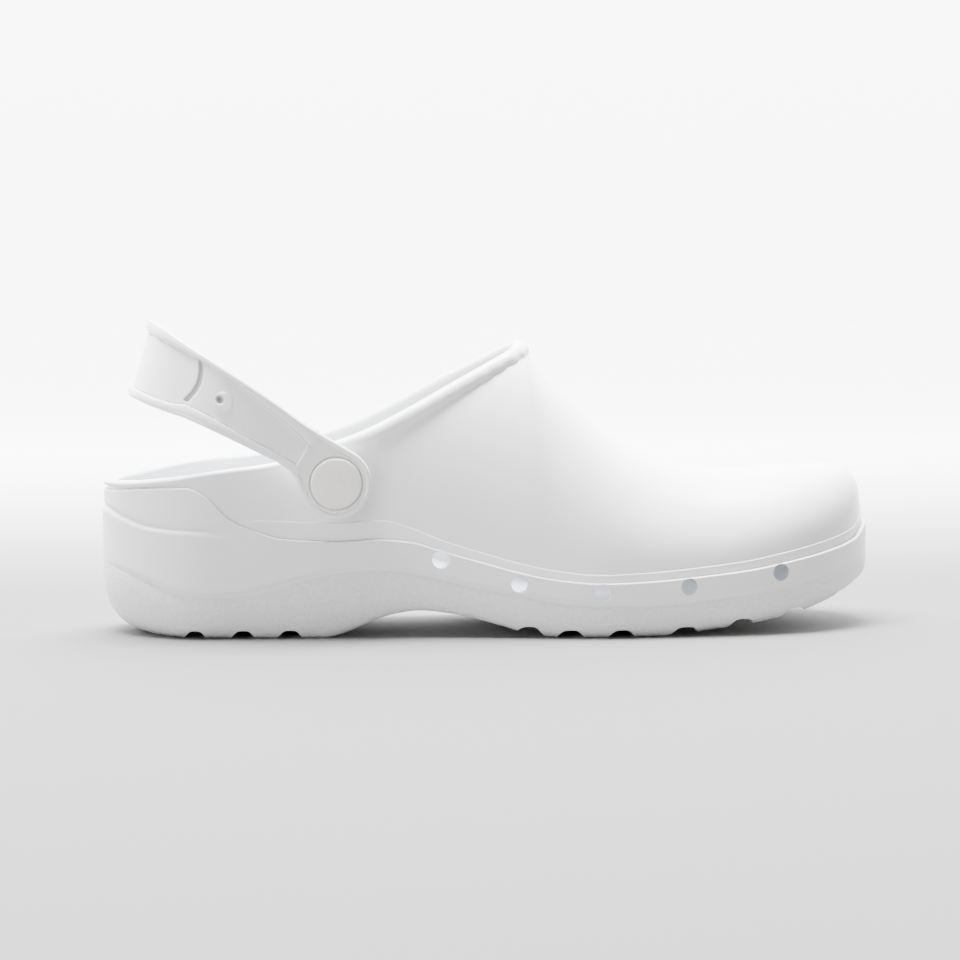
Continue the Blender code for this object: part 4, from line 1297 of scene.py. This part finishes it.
def sole_foam():
    """EVA foam, satin above its low style line and blasted rough below it, where dull specks show."""
    made, tree, shader = new_material("blasted EVA foam")
    place = add(tree, "TexCoord", "Object")
    grain = add(tree, "Attribute", "Fac", attribute_name="grain")
    cloud = add(tree, "TexNoise", 0, {"Vector": place, "Scale": 1 / (30 * MM)})
    base = two_tone(tree, cloud, "#EDEDED", "#F3F3F2")
    # Blasting grit is commonly about 0.25 mm, drawn here at 0.8 mm so that the render shows it
    grit = add(tree, "TexNoise", 0, {"Vector": place, "Scale": 1 / (0.8 * MM), "Detail": 4.0})
    sandy = two_tone(tree, grit, "#E3E3E3", "#F4F4F3")
    shown = add(tree, "Mix", 2, {"Factor": grain, 6: base, 7: sandy}, data_type="RGBA")
    dull = add(tree, "MapRange", 0, {"Value": grain, "To Min": 0.42, "To Max": 0.72})
    deep = add(tree, "MapRange", 0, {"Value": grain, "To Min": 0.08, "To Max": 1.0})
    bump = add(tree, "Bump", 0, {"Height": grit, "Strength": deep, "Distance": 0.22 * MM})
    feed(shader, {"Base Color": shown, "Roughness": dull, "Normal": bump, "IOR": PLASTIC_IOR})
    return made


def footbed_foam():
    """Open-celled footbed foam: dull, with fine pores that read as an even felt-like grain."""
    made, tree, shader = new_material("footbed foam")
    place = add(tree, "TexCoord", "Object")
    # Pores of about 0.4 mm, drawn at 0.9 mm so that the render shows them
    cells = add(tree, "TexVoronoi", "Distance", {"Vector": place, "Scale": 1 / (0.9 * MM)})
    cloud = add(tree, "TexNoise", 0, {"Vector": place, "Scale": 1 / (22 * MM)})
    shown = two_tone(tree, cloud, "#C6CCD5", "#D2D7DE")
    bump = add(tree, "Bump", 0, {"Height": cells, "Strength": 0.6, "Distance": 0.12 * MM})
    feed(shader, {"Base Color": shown, "Roughness": 0.85, "Normal": bump})
    return made


def rivet_plastic():
    """Injection-moulded acetal, a shade warmer and shinier than the foam, so it reads as another plastic."""
    made, tree, shader = new_material("moulded acetal")
    place = add(tree, "TexCoord", "Object")
    fine = add(tree, "TexNoise", 0, {"Vector": place, "Scale": 1 / (2.5 * MM)})
    shown = two_tone(tree, fine, "#F5F3EE", "#F7F5F0")
    dull = add(tree, "MapRange", 0, {"Value": fine, **NOISE_RANGE, "To Min": 0.27, "To Max": 0.30})
    bump = add(tree, "Bump", 0, {"Height": fine, "Strength": 0.12, "Distance": 0.02 * MM})
    feed(shader, {"Base Color": shown, "Roughness": dull, "Normal": bump, "IOR": PLASTIC_IOR})
    return made


def put_up(name, data, place):
    """Puts a camera or a light in the scene."""
    holder = bpy.data.objects.new(name, data)
    bpy.context.scene.collection.objects.link(holder)
    holder.location = place
    return holder


def set_camera():
    camera = bpy.data.cameras.new("studio camera")
    camera.lens = CAMERA_LENS
    camera.sensor_width = CAMERA_SENSOR
    x = CAMERA_MIDDLE - CAMERA_DISTANCE * math.sin(CAMERA_TURN)
    holder = put_up("studio camera", camera, (x, -CAMERA_DISTANCE * math.cos(CAMERA_TURN), CAMERA_HEIGHT))
    holder.rotation_euler = (math.pi / 2 - CAMERA_TILT, 0, -CAMERA_TURN)
    bpy.context.scene.camera = holder


def set_light(name, place, size, power):
    light = bpy.data.lights.new(name, "AREA")
    light.shape = "RECTANGLE"
    light.size, light.size_y = size
    light.energy = power
    holder = put_up(name, light, place)
    way = Vector(LIGHT_AIM) - Vector(place)
    holder.rotation_euler = way.to_track_quat("-Z", "Y").to_euler()


def set_air():
    """Studio air: bright high up behind the clog, dim in front, and like the floor along the horizon."""
    world = bpy.data.worlds.new("studio air")
    bpy.context.scene.world = world
    world.use_nodes = True
    tree = world.node_tree
    way = add(tree, "TexCoord", "Generated")
    behind = add(tree, "SeparateXYZ", "Y", {"Vector": way})
    above = add(tree, "SeparateXYZ", "Z", {"Vector": way})
    sky = {"Value": behind, "From Min": -0.10, "From Max": 0.70, "To Min": AIR_FRONT, "To Max": AIR_BACK}
    horizon = {"Value": behind, "From Min": 0.30, "From Max": 0.90, "To Min": AIR_FRONT, "To Max": AIR_LOW}
    high, low = (add(tree, "MapRange", 0, ends, interpolation_type="SMOOTHSTEP") for ends in (sky, horizon))
    rise = {"Value": above, "From Min": 0.02, "From Max": 0.42, "To Min": low, "To Max": high}
    strength = add(tree, "MapRange", 0, rise, interpolation_type="SMOOTHSTEP")
    feed(tree.nodes["Background"], {"Color": (1, 1, 1, 1), "Strength": strength})


def set_studio():
    bpy.ops.mesh.primitive_plane_add(size=FLOOR_SIZE, location=(0, 0, 0))
    floor = bpy.context.object
    floor.name = "studio_floor"
    made, tree, shader = new_material("studio paper")
    # The paper goes from grey to white behind the clog, so that it meets the studio air without an edge; the
    # white far behind is painted light
    place = add(tree, "TexCoord", "Object")
    behind = add(tree, "SeparateXYZ", "Y", {"Vector": place})
    ends = {"Value": behind, "From Min": FLOOR_FADE[0], "From Max": FLOOR_FADE[1]}
    share = add(tree, "MapRange", 0, ends, interpolation_type="SMOOTHSTEP")
    paper = {"Factor": share, 6: colour(FLOOR_NEAR), 7: colour(FLOOR_FAR)}
    shown = add(tree, "Mix", 2, paper, data_type="RGBA")
    # Far behind it glows with painted light, as bright as the studio air there
    painted_glow = add(tree, "MapRange", 0, {"Value": share, "To Max": FLOOR_GLOW})
    feed(shader, {"Base Color": shown, "Roughness": 0.9})
    feed(shader, {"Emission Color": (1, 1, 1, 1), "Emission Strength": painted_glow})
    floor.data.materials.append(made)
    set_air()
    for light in LIGHTS:
        set_light(*light)


set_studio()
set_camera()
drills = vent_drills()
make_sole(sole_foam(), drills)
make_upper(smooth_foam("satin EVA foam", "#F7F7F6", "#F3F3F3", 0.34), drills)
make_insole(footbed_foam())
make_strap(smooth_foam("satin EVA strap foam", "#F6F6F7", "#F2F2F4", 0.32))
make_rivets(rivet_plastic())
